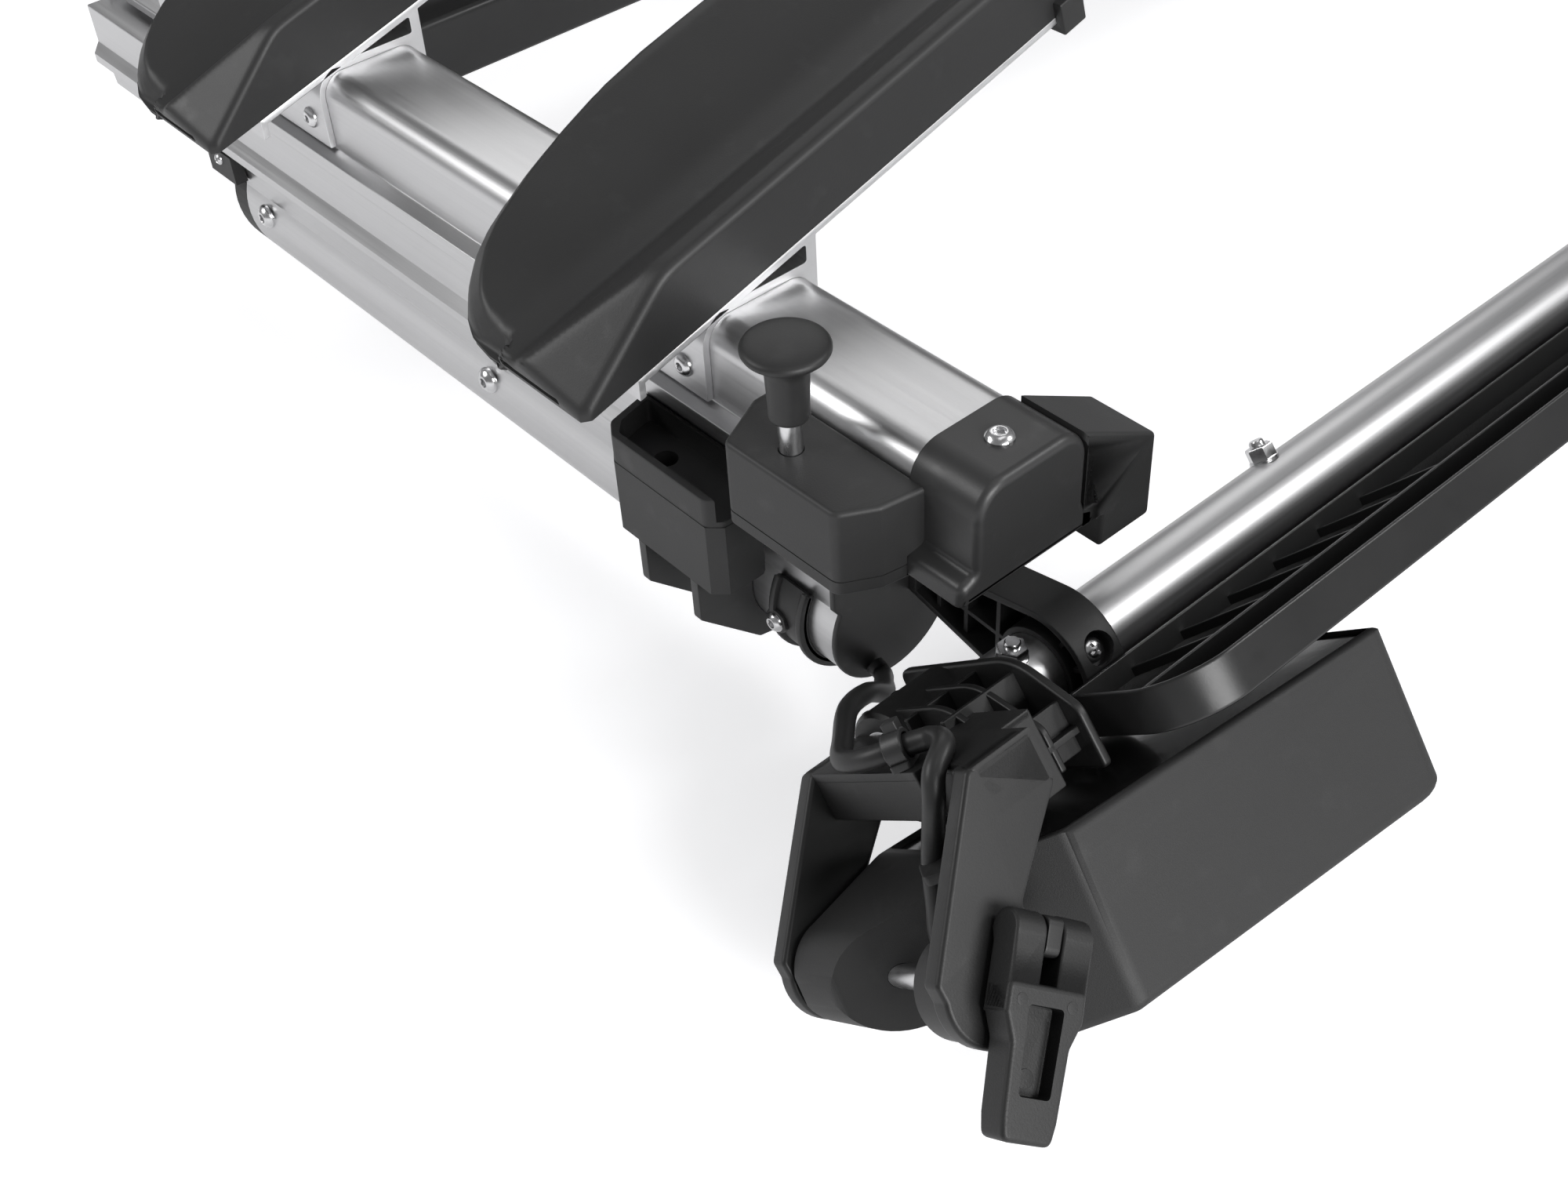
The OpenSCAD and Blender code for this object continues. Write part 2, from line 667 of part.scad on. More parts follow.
// Lamp cable: from the end cap round the bracket to the hinge
cable_path = [[-12, 48.7, -131], [-13, 43, -131.5], [-22, 33, -122], [-34, 20, -109], [-48, 14, -95],
    [-65, 5, -84], [-80, -9, -77], [-91, -21, -69], [-90, -31, -61], [-82, -39, -55], [-76, -46, -50],
    [-79, -54, -44], [-88, -59, -46], [-92, -63, -53], [-94, -65, -63], [-98, -69, -73], [-102, -75, -83],
    [-105, -79, -90], [-107, -84, -91], [-108, -89.2, -86.5]];
cable_step = 0.34;
function spline(p, i, t) =
    let (n = len(p) - 1, a = p[max(i - 1, 0)], b = p[i], c = p[min(i + 1, n)], d = p[min(i + 2, n)])
    0.5 * (2 * b + (c - a) * t + (2 * a - 5 * b + 4 * c - d) * t * t + (3 * b - a - 3 * c + d) * t * t * t);
function route(p) = concat([for (i = [0:len(p) - 2]) for (t = [0:cable_step:0.9]) spline(p, i, t)],
    [p[len(p) - 1]]);
function unit(v) = v / norm(v);
function tangent(p, i) = unit(p[min(i + 1, len(p) - 1)] - p[max(i - 1, 0)]);
function ring(p, i, r, k) =
    let (t = tangent(p, i), a = unit(cross(t, [0.2, 1, 0.3])), b = cross(t, a))
    [for (j = [0:k - 1]) p[i] + r * (cos(360 * j / k) * a + sin(360 * j / k) * b)];
module tube_along(p, r, k) {
    n = len(p);
    points = [for (i = [0:n - 1]) for (q = ring(p, i, r, k)) q];
    sides = [for (i = [0:n - 2]) for (j = [0:k - 1]) for (f = [0, 1])
        f == 0 ? [i * k + j, i * k + (j + 1) % k, (i + 1) * k + j]
        : [i * k + (j + 1) % k, (i + 1) * k + (j + 1) % k, (i + 1) * k + j]];
    ends = [[for (j = [k - 1:-1:0]) j], [for (j = [0:k - 1]) (n - 1) * k + j]];
    polyhedron(points, concat(sides, ends));
}
module lamp_cable() { tube_along(route(cable_path), cable_d / 2, 10); }
module left_lamp_cable() { color([0.06, 0.06, 0.07]) left() lamp_cable(); }
module right_lamp_cable() { color([0.06, 0.06, 0.07]) right() lamp_cable(); }
clip_at = [-83, 47, -20];
clip_turn = 53;
clip_r = 6;
module cable_clip() {
    bar() translate(clip_at) rotate([0, 0, clip_turn]) difference() {
        union() {
            rotate([0, 90, 0]) cylinder(r = clip_r, h = 7, center = true);
            box([-3.5, -clip_r, 3], [3.5, clip_r, clip_r]);
        }
        rotate([0, 90, 0]) cylinder(r = cable_d / 2 + 2 * gap, h = 9, center = true);
    }
}
module cable_clips() { color([0.07, 0.07, 0.08]) both() cable_clip(); }

// Sliding rail with its rear end cap, wedge box and knob block
module upper_profile() {
    half = upper_w / 2;
    in = half - upper_wall;
    r = upper_corner;
    side = concat([[slot_half, upper_bottom], [half + lip_out, upper_bottom], [half + lip_out, lip_top],
        [half, lip_top + 2.5]], arc([half - r, upper_top - r], r, 0, 90, 8));
    cavity = concat([[in, upper_bottom + upper_wall]],
        arc([in - r + upper_wall, upper_top - r], r - upper_wall, 0, 90, 8));
    difference() {
        polygon(concat(side, flip(side)));
        polygon(concat(cavity, flip(cavity)));
        translate([-slot_half, upper_bottom - cut]) square([2 * slot_half, upper_wall + 2 * cut]);
    }
}
module upper_rail() {
    difference() {
        along_y(upper_start, upper_end) upper_profile();
        translate([0, 0, -10]) cylinder(r = bolt_r + fit, h = 12);
    }
}
module left_upper_rail() { color([0.78, 0.79, 0.8]) left() upper_rail(); }
module right_upper_rail() { color([0.78, 0.79, 0.8]) right() upper_rail(); }
cap_front = 15.4;
cap_rear = -16;
module cap_outline() {
    half = upper_w / 2 + 1.25;
    r = 13;
    side = concat([[half + lip_out, upper_bottom], [half + lip_out, lip_top + 1.2], [half, lip_top + 3.8]],
        arc([half - r, -r], r, 0, 90, 8));
    polygon(concat(side, flip(side)));
}
module upper_end_cap() {
    difference() {
        along_y(cap_rear, cap_front) cap_outline();
        along_y(upper_start, cap_front + cut) {
            half = upper_w / 2;
            r = upper_corner;
            side = concat([[half + lip_out, upper_bottom - 3], [half + lip_out, lip_top], [half,
                lip_top + 2.5]],
                arc([half - r, upper_top - r], r, 0, 90, 8));
            polygon(concat(side, flip(side)));
        }
        translate([0, 0, -10]) cylinder(r = bolt_r + fit, h = 12);
    }
}
module upper_end_caps() { color([0.05, 0.05, 0.06]) both() upper_end_cap(); }
module cap_screw() {
    button(10.5, 3.3, 4);
    translate([0, 0, -7]) cylinder(r = bolt_r, h = 7 + cut);
}
module cap_screws() { color([0.75, 0.75, 0.77]) both() cap_screw(); }
wedge_out = 62;
wedge_low = -60;
wedge_in = 36;
module wedge_box() {
    x0 = upper_w / 2 + 1.25;
    difference() {
        along_y(cap_rear, cap_front - 2) polygon([[x0 - 2, -3], [x0, -4], [wedge_out - 0.5, -23.5],
            [wedge_out, wedge_low], [wedge_in, wedge_low], [wedge_in, upper_bottom], [x0 - 2,
                upper_bottom]]);
        along_y(cap_rear + 2.5, cap_front - 4.5) polygon([[wedge_in + 3, wedge_low - cut],
            [wedge_in + 3, -14], [wedge_out - 3, -25.5], [wedge_out - 2.5, wedge_low - cut]]);
        along_y(cap_rear - cut, cap_front) cap_outline();
    }
}
module wedge_boxes() { color([0.06, 0.06, 0.07]) both() wedge_box(); }
module knob_block() {
    x_in = -upper_w / 2;
    difference() {
        union() {
            translate([0, 0, block_seam]) linear_extrude(block_top - block_seam)
                polygon([[x_in, 8], [-42.3, 11], [-56.2, 18.8], [-56.7, 73.1], [-34, 84], [x_in, 84]]);
            translate([lock_x, lock_y, floor_z + gap]) cylinder(r = collar_r, h = block_seam - floor_z);
        }
        translate([lock_x, lock_y, -70]) cylinder(d = lock_pin_d + 2 * gap, h = 80);
        along_y(0, cap_front) cap_outline();
        along_y(0, 90) translate([x_in - lip_out, upper_bottom - 4])
            square([lip_out, 4 - upper_bottom + lip_top]);
        along_y(0, 90) polygon([[x_in - lip_out - gap, upper_bottom - 4], [x_in - lip_out, lip_top + 1],
            [x_in, lip_top + 3.5], [x_in + 4, lip_top + 3.5], [x_in + 4, upper_bottom - 4]]);
    }
}
module knob_blocks() { color([0.1, 0.1, 0.11]) both() knob_block(); }

// Locking pin and its pull knob
module lock_pin() {
    translate([lock_x, lock_y, pin_tip]) cylinder(d = lock_pin_d, h = knob_z - 8 - pin_tip);
}
module left_lock_pin() { color([0.75, 0.75, 0.77]) left() lock_pin(); }
module right_lock_pin() { color([0.75, 0.75, 0.77]) right() lock_pin(); }
module pull_knob() {
    neck = -2.6;
    r = knob_d / 2;
    translate([lock_x, lock_y, 0]) difference() {
        rotate_extrude($fn = 64) polygon(concat([[0, neck], [6, neck], [7, neck + 1], [7.7, knob_z - 10]],
            [[9, knob_z - 6], [r - 3, knob_z - 4]], arc([r - 2.2, knob_z - 1.6], 2.2, -75, 75, 6),
            [[r - 5, knob_z + 1.6], [r - 9, knob_z + 2.4], [0, knob_z + 2.6]]));
        translate([0, 0, neck - cut]) cylinder(d = lock_pin_d, h = knob_z - 8 - neck + cut);
    }
}
module left_pull_knob() { color([0.08, 0.08, 0.09]) left() pull_knob(); }
module right_pull_knob() { color([0.08, 0.08, 0.09]) right() pull_knob(); }

// Tray support: an extrusion with a saddle over the sliding rail and a sloping plate
module support_profile() {
    half = upper_w / 2;
    r = upper_corner;
    run = tan(tray_slope);
    under = plate_z - plate_t / cos(tray_slope);
    saddle = concat([[half + saddle_wall, -14]], arc([half - r, upper_top - r], r + saddle_wall, 0, 90, 8));
    difference() {
        union() {
            polygon([[plate_outer, plate_z + (plate_outer - plate_x) * run],
                [plate_outer, under + (plate_outer - plate_x) * run - plate_hook],
                [plate_outer + plate_t, under + (plate_outer - plate_x) * run - plate_hook],
                [plate_outer + plate_t, under + (plate_outer + plate_t - plate_x) * run],
                [plate_inner, under + (plate_inner - plate_x) * run],
                [plate_inner, plate_z + (plate_inner - plate_x) * run]]);
            translate([-half - saddle_wall, -35]) square([saddle_wall, 22]);
            polygon(concat(saddle, [for (p = flip(saddle)) p], [[-half - saddle_wall, -14]]));
            translate([half, -14]) square([saddle_wall, 14 + under + (half - plate_x) * run + 1]);
        }
        polygon(concat([[half, -60]], arc([half - r, upper_top - r], r, 0, 90, 8),
            arc([-half + r, upper_top - r], r, 90, 180, 8), [[-half, -60]]));
        polygon([[half - 2, upper_top + saddle_wall + 1], [half - 2,
            under + (half - 2 - plate_x) * run - 0.5],
            [-12, under + (-12 - plate_x) * run - 0.5], [-4, upper_top + saddle_wall + 1]]);
    }
}
module tray_support(y) { along_y(y, y + support_depth) support_profile(); }
front_row = tray_start + tray_pitch;
module left_rear_tray_support() { color([0.8, 0.81, 0.82]) left() tray_support(tray_start); }
module left_front_tray_support() { color([0.8, 0.81, 0.82]) left() tray_support(front_row); }
module right_rear_tray_support() { color([0.8, 0.81, 0.82]) right() tray_support(tray_start); }
module right_front_tray_support() { color([0.8, 0.81, 0.82]) right() tray_support(front_row); }

// Wheel tray: a plastic trough on the sloping plate, with a rounded outer nose
module tray_plan(inset) {
    s0 = -tray_nose + inset;
    s1 = tray_len - tray_nose - inset;
    w = tray_w - inset;
    polygon([[s0 + 3, inset], [s0, inset + 3], [s0, w - 61], [s0 + 4, w - 49], [s0 + 10, w - 40],
        [s0 + 18, w - 31.5], [s0 + 28, w - 23], [s0 + 39, w - 16.5], [s0 + 50, w - 11.5],
        [s0 + 62, w - 8], [s0 + 84, w - 4], [s0 + 110, w], [s1 - 10, w], [s1, w - 10], [s1, inset]]);
}
module tray_section() {
    floor_end = tray_valley + tray_floor_w;
    polygon([[0, 0], [0, tray_near_h - 3], [3, tray_near_h], [8, tray_near_h], [tray_valley, tray_floor_h],
        [floor_end, tray_floor_h], [tray_w - 7, tray_far_h], [tray_w - 3, tray_far_h],
        [tray_w, tray_far_h - 3], [tray_w, 0]]);
}
module tray_hollow() {
    floor_end = tray_valley + tray_floor_w;
    low = tray_floor_h - tray_wall;
    polygon([[tray_wall, -cut], [tray_wall, tray_near_h - tray_wall - 2], [tray_wall + 2,
        tray_near_h - tray_wall],
        [7, tray_near_h - tray_wall], [tray_valley - 1, low], [floor_end + 1, low],
        [tray_w - 7, tray_far_h - tray_wall], [tray_w - tray_wall, tray_far_h - tray_wall - 2],
        [tray_w - tray_wall, -cut]]);
}
nose_low = 3;
nose_rise = 28.8;
nose_lean = 13.7;
module above_nose(sunk) {
    translate([-tray_nose, 0, nose_low - sunk]) rotate([nose_lean, -nose_rise, 0])
        box([-80, -60, 0], [160, 200, 90]);
}
slot_at = [14, 49];
slot_z = [1.8, 4.8];
module tray(y) {
    s1 = tray_len - tray_nose;
    slope(y) difference() {
        intersection() {
            along_x(-tray_nose, s1) tray_section();
            translate([0, 0, -cut]) linear_extrude(60) tray_plan(0);
        }
        above_nose(0);
        difference() {
            intersection() {
                along_x(-tray_nose + tray_wall, s1 - tray_wall) tray_hollow();
                translate([0, 0, -2 * cut]) linear_extrude(60) tray_plan(tray_wall);
            }
            above_nose(1.2 * tray_wall);
        }
        box([-tray_nose - cut, slot_at[0], slot_z[0]], [-tray_nose + 2 * tray_wall, slot_at[1], slot_z[1]]);
    }
}
module left_rear_tray() { color([0.13, 0.13, 0.14]) left() tray(tray_start); }
module left_front_tray() { color([0.13, 0.13, 0.14]) left() tray(front_row); }
module right_rear_tray() { color([0.13, 0.13, 0.14]) right() tray(tray_start); }
module right_front_tray() { color([0.13, 0.13, 0.14]) right() tray(front_row); }
clip_s = 136;
module tray_clip(y) {
    slope(y) difference() {
        box([clip_s, -4, -plate_t - 4], [clip_s + 12, 8, 7]);
        box([clip_s - cut, 0, -plate_t], [clip_s + 12 + cut, 20, 20]);
    }
}
module tray_clips() { color([0.06, 0.06, 0.07]) both() for (y = [tray_start, front_row]) tray_clip(y); }
module support_screws() {
    color([0.75, 0.75, 0.77]) both() for (y = [tray_start, front_row])
        translate([-upper_w / 2 - saddle_wall, y + 12, -24]) rotate([0, -90, 0]) button(9.5, 2.6, 3);
}

// Beams that join the two sliding rails
module carriage_beam_at(y0, y1) {
    translate([0, -ball_ahead, ball_below])
        beam(y0, y1, -rail_x + upper_w / 2, rail_x - upper_w / 2, carriage_top - carriage_beam, carriage_top,
            beam_wall);
}
module carriage_front_beam() { color([0.2, 0.2, 0.21]) carriage_beam_at(bow_hinge_y - 15,
    bow_hinge_y + 15); }
module carriage_rear_beam() { color([0.2, 0.2, 0.21]) carriage_beam_at(rear_beam_y, rear_beam_y + 25); }

// Folding bow and the brackets that it turns in
bow_r = bow_d / 2;
bend_r = 80;
bow_pin_r = 5;
module bow_bracket() {
    inner = bow_r + gap;
    translate([0, bow_hinge_y, 0]) {
        box([-inner - 5, -15, carriage_top], [inner + 5, 15, carriage_top + 4]);
        for (s = [-1, 1]) translate([s * (inner + 2.5) - 2.5, 0, 0]) difference() {
            along_x(0, 5) union() {
                translate([-15, carriage_top]) square([30, bow_hinge_z - carriage_top]);
                translate([0, bow_hinge_z]) circle(r = 15);
            }
            along_x(-cut, 5 + cut) translate([0, bow_hinge_z]) circle(r = bow_pin_r + fit);
        }
    }
}
module bow_hinge_brackets() {
    color([0.12, 0.12, 0.13]) for (s = [-1, 1])
        translate([s * bow_w / 2, -ball_ahead, ball_below]) bow_bracket();
}
module bow_ring() {
    difference() {
        circle(r = bow_r);
        circle(r = bow_r - bow_wall);
    }
}
module bow_bend() { rotate_extrude(angle = 90) translate([bend_r, 0]) bow_ring(); }
module bow() {
    leg_low = 14;
    color([0.15, 0.15, 0.16]) translate([0, -ball_ahead + bow_hinge_y, ball_below + bow_hinge_z]) {
        for (s = [0, 1]) mirror([s, 0, 0]) {
            translate([bow_w / 2, 0, -leg_low]) linear_extrude(bow_h - bend_r + leg_low) bow_ring();
            translate([bow_w / 2, 0, 0]) rotate([0, 90, 0])
                cylinder(r = bow_pin_r, h = bow_d + 2 * gap + 10, center = true);
            translate([bow_w / 2 - bend_r, 0, bow_h - bend_r]) rotate([90, 0, 0]) bow_bend();
        }
        along_x(-bow_w / 2 + bend_r, bow_w / 2 - bend_r) translate([0, bow_h]) bow_ring();
    }
}

// Frame holders: a collar on the bow, an arm with the upper claw, a hinged jaw and its knob
arm_r = 10;
claw_r = 20;
claw_t = 9;
claw_half = 14;
collar_half = 20;
collar_t = 8;
jaw_lug = 5;
jaw_pin = 4;
jaw_eye = 7;
jaw_out = claw_r + claw_t + jaw_eye + 2 * gap;
stud_y = 41;
stud_r = 3;
stud_room = 1.2;
stud_in = 8;
flange_t = 6;
wheel_r = 15;
wheel_h = 13;
module at_bow(x, reach) {
    translate([x, -ball_ahead + bow_hinge_y - reach, ball_below + bow_hinge_z + bow_h]) children();
}
module half_ring(side) {
    intersection() {
        difference() {
            circle(r = claw_r + claw_t);
            circle(r = claw_r);
        }
        translate([-claw_r - claw_t - cut, side > 0 ? gap / 2 : -claw_r - claw_t - gap / 2])
            square([2 * (claw_r + claw_t + cut), claw_r + claw_t]);
    }
}
module holder(x, reach) {
    at_bow(x, reach) {
        along_x(-collar_half, collar_half) difference() {
            translate([reach, 0]) circle(r = bow_r + collar_t);
            translate([reach, 0]) circle(r = bow_r + fit);
        }
        difference() {
            union() {
                translate([0, reach - bow_r - collar_t / 2, 0]) rotate([90, 0, 0])
                    cylinder(r = arm_r, h = reach - bow_r - collar_t / 2 - claw_r - claw_t / 2);
                along_x(-claw_half, claw_half) half_ring(1);
            }
            translate([0, stud_y, -arm_r - cut]) cylinder(r = stud_r + stud_room, h = stud_in + 1.2 * cut);
            rotate([0, 90, 0]) cylinder(r = claw_r, h = 2 * claw_half + 2, center = true);
            box([-claw_half, -claw_r - claw_t, -arm_r - cut], [claw_half, claw_r + claw_t + gap, gap / 2]);
        }
        for (s = [-1, 1]) translate([s * (claw_half + jaw_lug) / 2, 0, 0])
            along_x(-(claw_half - jaw_lug) / 2, (claw_half - jaw_lug) / 2) {
                translate([-jaw_out, 0]) circle(r = jaw_eye);
                translate([-jaw_out, gap / 2]) square([jaw_out - claw_r - 1, jaw_eye - gap / 2]);
            }
        along_x(-claw_half + cut, claw_half - cut) translate([-jaw_out, 0]) circle(r = jaw_pin);
    }
}
module jaw(x, reach) {
    at_bow(x, reach) {
        along_x(-claw_half, claw_half) half_ring(-1);
        along_x(-jaw_lug + gap, jaw_lug - gap) difference() {
            union() {
                translate([-jaw_out, 0]) circle(r = jaw_eye);
                translate([-jaw_out, -jaw_eye]) square([jaw_out - claw_r - 1, jaw_eye - gap / 2]);
            }
            translate([-jaw_out, 0]) circle(r = jaw_pin + fit);
        }
        difference() {
            union() {
                box([-arm_r, claw_r + 1, -arm_r - gap - flange_t], [arm_r, stud_y + 9, -arm_r - gap]);
                box([-arm_r, claw_r + 1, -arm_r - gap - flange_t], [arm_r, claw_r + claw_t - 1, -gap / 2]);
            }
            translate([0, stud_y, -arm_r - gap - flange_t - cut])
                cylinder(r = stud_r + fit, h = flange_t + 2 * cut);
            rotate([0, 90, 0]) cylinder(r = claw_r, h = 2 * claw_half + 2, center = true);
        }
    }
}
module jaw_knob(x, reach) {
    at_bow(x, reach) translate([0, stud_y, -arm_r - 2 * gap - flange_t - wheel_h]) {
        difference() {
            cylinder(r = wheel_r, h = wheel_h);
            for (a = [0:45:315]) rotate(a) translate([wheel_r + 1.5, 0, -cut])
                cylinder(r = 3.5, h = wheel_h + 2 * cut);
        }
        cylinder(r = stud_r, h = wheel_h + flange_t + gap);
    }
}
short_x = -90;
long_x = 90;
module short_holder() { color([0.12, 0.12, 0.13]) holder(short_x, short_reach); }
module long_holder() { color([0.12, 0.12, 0.13]) holder(long_x, long_reach); }
module short_jaw() { color([0.09, 0.09, 0.1]) jaw(short_x, short_reach); }
module long_jaw() { color([0.09, 0.09, 0.1]) jaw(long_x, long_reach); }
module short_knob() { color([0.07, 0.07, 0.08]) jaw_knob(short_x, short_reach); }
module long_knob() { color([0.07, 0.07, 0.08]) jaw_knob(long_x, long_reach); }

left_lower_rail();
right_lower_rail();
rail_end_caps();
rail_front_ends();
lock_blocks();
rail_bands();
bar_clamps();
clamp_screws();
rail_bolts();
front_crossbeam();
middle_crossbeam();
coupling_spine();
coupling_body();
light_tube();
plate_holder();
left_lamp_bracket();
right_lamp_bracket();
tube_bolts();
left_lamp_cable();
right_lamp_cable();
cable_clips();
lamp_pins();
left_upper_rail();
right_upper_rail();
upper_end_caps();
wedge_boxes();
knob_blocks();
left_rear_tray_support();
left_front_tray_support();
right_rear_tray_support();
right_front_tray_support();
left_rear_tray();
left_front_tray();
right_rear_tray();
right_front_tray();
tray_clips();
carriage_front_beam();
carriage_rear_beam();
cap_screws();
support_screws();
bow_hinge_brackets();
left_pull_knob();
left_lock_pin();
right_pull_knob();
right_lock_pin();
left_lamp_housing();
left_lamp_lens();
right_lamp_housing();
right_lamp_lens();
left_latch_lever();
right_latch_lever();
coupling_lever();
clamping_jaw();
bow();
short_holder();
short_jaw();
short_knob();
long_holder();
long_jaw();
long_knob();
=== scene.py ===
import math

import bmesh
import bpy
from mathutils import Matrix, Vector
from mathutils.geometry import tessellate_polygon


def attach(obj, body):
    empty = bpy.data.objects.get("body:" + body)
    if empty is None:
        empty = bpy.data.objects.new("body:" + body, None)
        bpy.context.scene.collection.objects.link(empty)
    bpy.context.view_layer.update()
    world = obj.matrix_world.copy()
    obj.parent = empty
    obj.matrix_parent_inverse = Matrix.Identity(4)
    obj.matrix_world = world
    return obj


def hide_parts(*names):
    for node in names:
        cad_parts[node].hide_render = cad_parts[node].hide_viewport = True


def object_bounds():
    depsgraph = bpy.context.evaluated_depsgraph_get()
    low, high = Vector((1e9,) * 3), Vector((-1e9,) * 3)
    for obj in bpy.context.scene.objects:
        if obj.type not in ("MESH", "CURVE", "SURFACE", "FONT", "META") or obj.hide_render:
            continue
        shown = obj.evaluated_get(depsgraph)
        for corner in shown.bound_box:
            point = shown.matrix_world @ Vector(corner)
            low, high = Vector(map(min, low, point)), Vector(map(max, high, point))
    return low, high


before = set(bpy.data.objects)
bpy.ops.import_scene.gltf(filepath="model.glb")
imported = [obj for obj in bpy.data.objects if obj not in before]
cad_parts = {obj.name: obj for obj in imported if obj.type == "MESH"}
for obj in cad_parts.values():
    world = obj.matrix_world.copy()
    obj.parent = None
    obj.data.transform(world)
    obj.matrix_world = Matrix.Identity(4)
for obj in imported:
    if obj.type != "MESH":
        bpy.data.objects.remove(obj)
cad_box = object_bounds()

# The photograph is taken from behind and above the left rail, looking down along it.
# The camera's place and turn come from the edges of the rails and the light bar.
scene = bpy.context.scene
scene.view_settings.view_transform = "Standard"


def linked(name, data):
    piece = bpy.data.objects.new(name, data)
    scene.collection.objects.link(piece)
    return piece


camera = linked("camera", bpy.data.cameras.new("camera"))
camera.data.sensor_width = 36
camera.data.lens = 43.71
to_right = Vector((0.74793058, -0.66212634, -0.04636138))
to_bottom = Vector((-0.47772686, -0.48835689, -0.7301816))
to_scene = Vector((0.46098223, 0.56820065, -0.68161881))
turn = Matrix((to_right, -to_bottom, -to_scene)).transposed()
camera.matrix_world = Matrix.Translation((-0.86067, -1.02891, 0.53544)) @ turn.to_4x4()
scene.camera = camera


class Tone:
    """A value in a finish, which sums are written with."""

    def __init__(self, finish, socket):
        self.finish = finish
        self.socket = socket

    def sum(self, operation, *values):
        inputs = dict(enumerate(values))
        return self.finish.node("ShaderNodeMath", inputs, operation=operation)

    def __add__(self, other):
        return self.sum("ADD", self, other)

    __radd__ = __add__

    def __mul__(self, other):
        return self.sum("MULTIPLY", self, other)

    __rmul__ = __mul__

    def __sub__(self, other):
        return self.sum("SUBTRACT", self, other)

    def __rsub__(self, other):
        return self.sum("SUBTRACT", other, self)

    def size(self):
        return self.sum("ABSOLUTE", self)

    def step(self, low, high):
        inputs = {"Value": self, "From Min": low, "From Max": high}
        return self.finish.node("ShaderNodeMapRange", inputs, interpolation_type="SMOOTHSTEP")


class Finish:
    """One finish of the carrier: its nodes, and the shader that they feed."""

    def __init__(self, name, **fixed):
        self.material = bpy.data.materials.new(name)
        self.material.use_nodes = True
        self.tree = self.material.node_tree
        self.shader = self.tree.nodes["Principled BSDF"]
        for socket, value in fixed.items():
            self.shader.inputs[socket.replace("_", " ")].default_value = value
        self.where = self.node("ShaderNodeTexCoord", {}, out="Object")

    def node(self, kind, inputs, out=0, **settings):
        made = self.tree.nodes.new(kind)
        for key, value in settings.items():
            setattr(made, key, value)
        for key, value in inputs.items():
            self.feed(made.inputs[key], value)
        return Tone(self, made.outputs[out])

    def feed(self, socket, value):
        if isinstance(value, Tone):
            self.tree.links.new(value.socket, socket)
        else:
            socket.default_value = value

    def noise(self, scale, detail=2.0, stretch=None):
        where = self.where
        if stretch:
            where = self.node("ShaderNodeMapping", {"Vector": where, "Scale": stretch})
        return self.node("ShaderNodeTexNoise", {"Vector": where, "Scale": scale, "Detail": detail})

    def facing(self, axis):
        normal = self.node("ShaderNodeTexCoord", {}, out="Normal")
        return self.node("ShaderNodeSeparateXYZ", {0: normal}, out=axis).size()

    def between(self, mask, low, high):
        inputs = {0: mask, 6: low, 7: high}
        return self.node("ShaderNodeMix", inputs, out=2, data_type="RGBA")

    def bump(self, height, deep, strength=0.5):
        inputs = {"Height": height, "Distance": deep, "Strength": strength}
        return self.node("ShaderNodeBump", inputs)

    def done(self, **values):
        for socket, value in values.items():
            self.feed(self.shader.inputs[socket.replace("_", " ")], value)
        return self.material


def grey(level):
    return (level, level, level * 1.01, 1)


# The studio is a pale floor that reaches past the picture on every side, under soft boxes:
# one behind the camera, one at its right, two past the front corners and a weak one overhead.
def soft_box(name, at, towards, width, depth, watts):
    lamp = bpy.data.lights.new(name, "AREA")
    lamp.shape = "RECTANGLE"
    lamp.size = width
    lamp.size_y = depth
    lamp.energy = watts
    holder = linked(name, lamp)
    way = Vector(towards) - Vector(at)
    holder.matrix_world = Matrix.Translation(at) @ way.to_track_quat("-Z", "Y").to_matrix().to_4x4()


soft_box("rear_box", (-0.7, -2.8, 0.95), (-0.45, -0.6, 0.1), 1.3, 0.9, 52)
soft_box("right_box", (1.05, -2.1, 1.7), (-0.3, -0.7, 0.05), 0.8, 0.5, 20)
soft_box("left_box", (-1.9, 0.6, 1.35), (-0.5, -0.6, 0.1), 1.1, 0.8, 19)
soft_box("overhead_box", (-0.35, -1.0, 2.3), (-0.4, -0.6, 0.1), 1.5, 0.7, 4)
soft_box("far_box", (0.85, 1.05, 1.75), (-0.4, -0.5, 0.1), 1.8, 1.7, 14)
world = bpy.data.worlds.new("studio")
world.use_nodes = True
world.node_tree.nodes["Background"].inputs["Color"].default_value = grey(0.85)
world.node_tree.nodes["Background"].inputs["Strength"].default_value = 0.26
scene.world = world

floor_mesh = bpy.data.meshes.new("floor")
FLOOR_REACH = 30
under = cad_box[0].z - 0.001
floor_corners = [(x * FLOOR_REACH, y * FLOOR_REACH, under) for x, y in ((-1, -1), (1, -1), (1, 1), (-1, 1))]
floor_mesh.from_pydata(floor_corners, [], [(0, 1, 2, 3)])
floor = linked("floor", floor_mesh)
floor_paint = Finish("floor_paint")
seen = floor_paint.node("ShaderNodeLightPath", {}, out="Is Camera Ray")
mirrored = floor_paint.node("ShaderNodeLightPath", {}, out="Is Glossy Ray")
through = floor_paint.node("ShaderNodeLightPath", {}, out="Is Transmission Ray")
lit = seen + mirrored * 0.35 + through * 0.35
floor_paint.done(Base_Color=grey(0.86), Roughness=0.9, Specular_IOR_Level=0.1,
                 Emission_Color=floor_paint.between(lit, grey(0), grey(1)), Emission_Strength=0.48)
floor_mesh.materials.append(floor_paint.material)

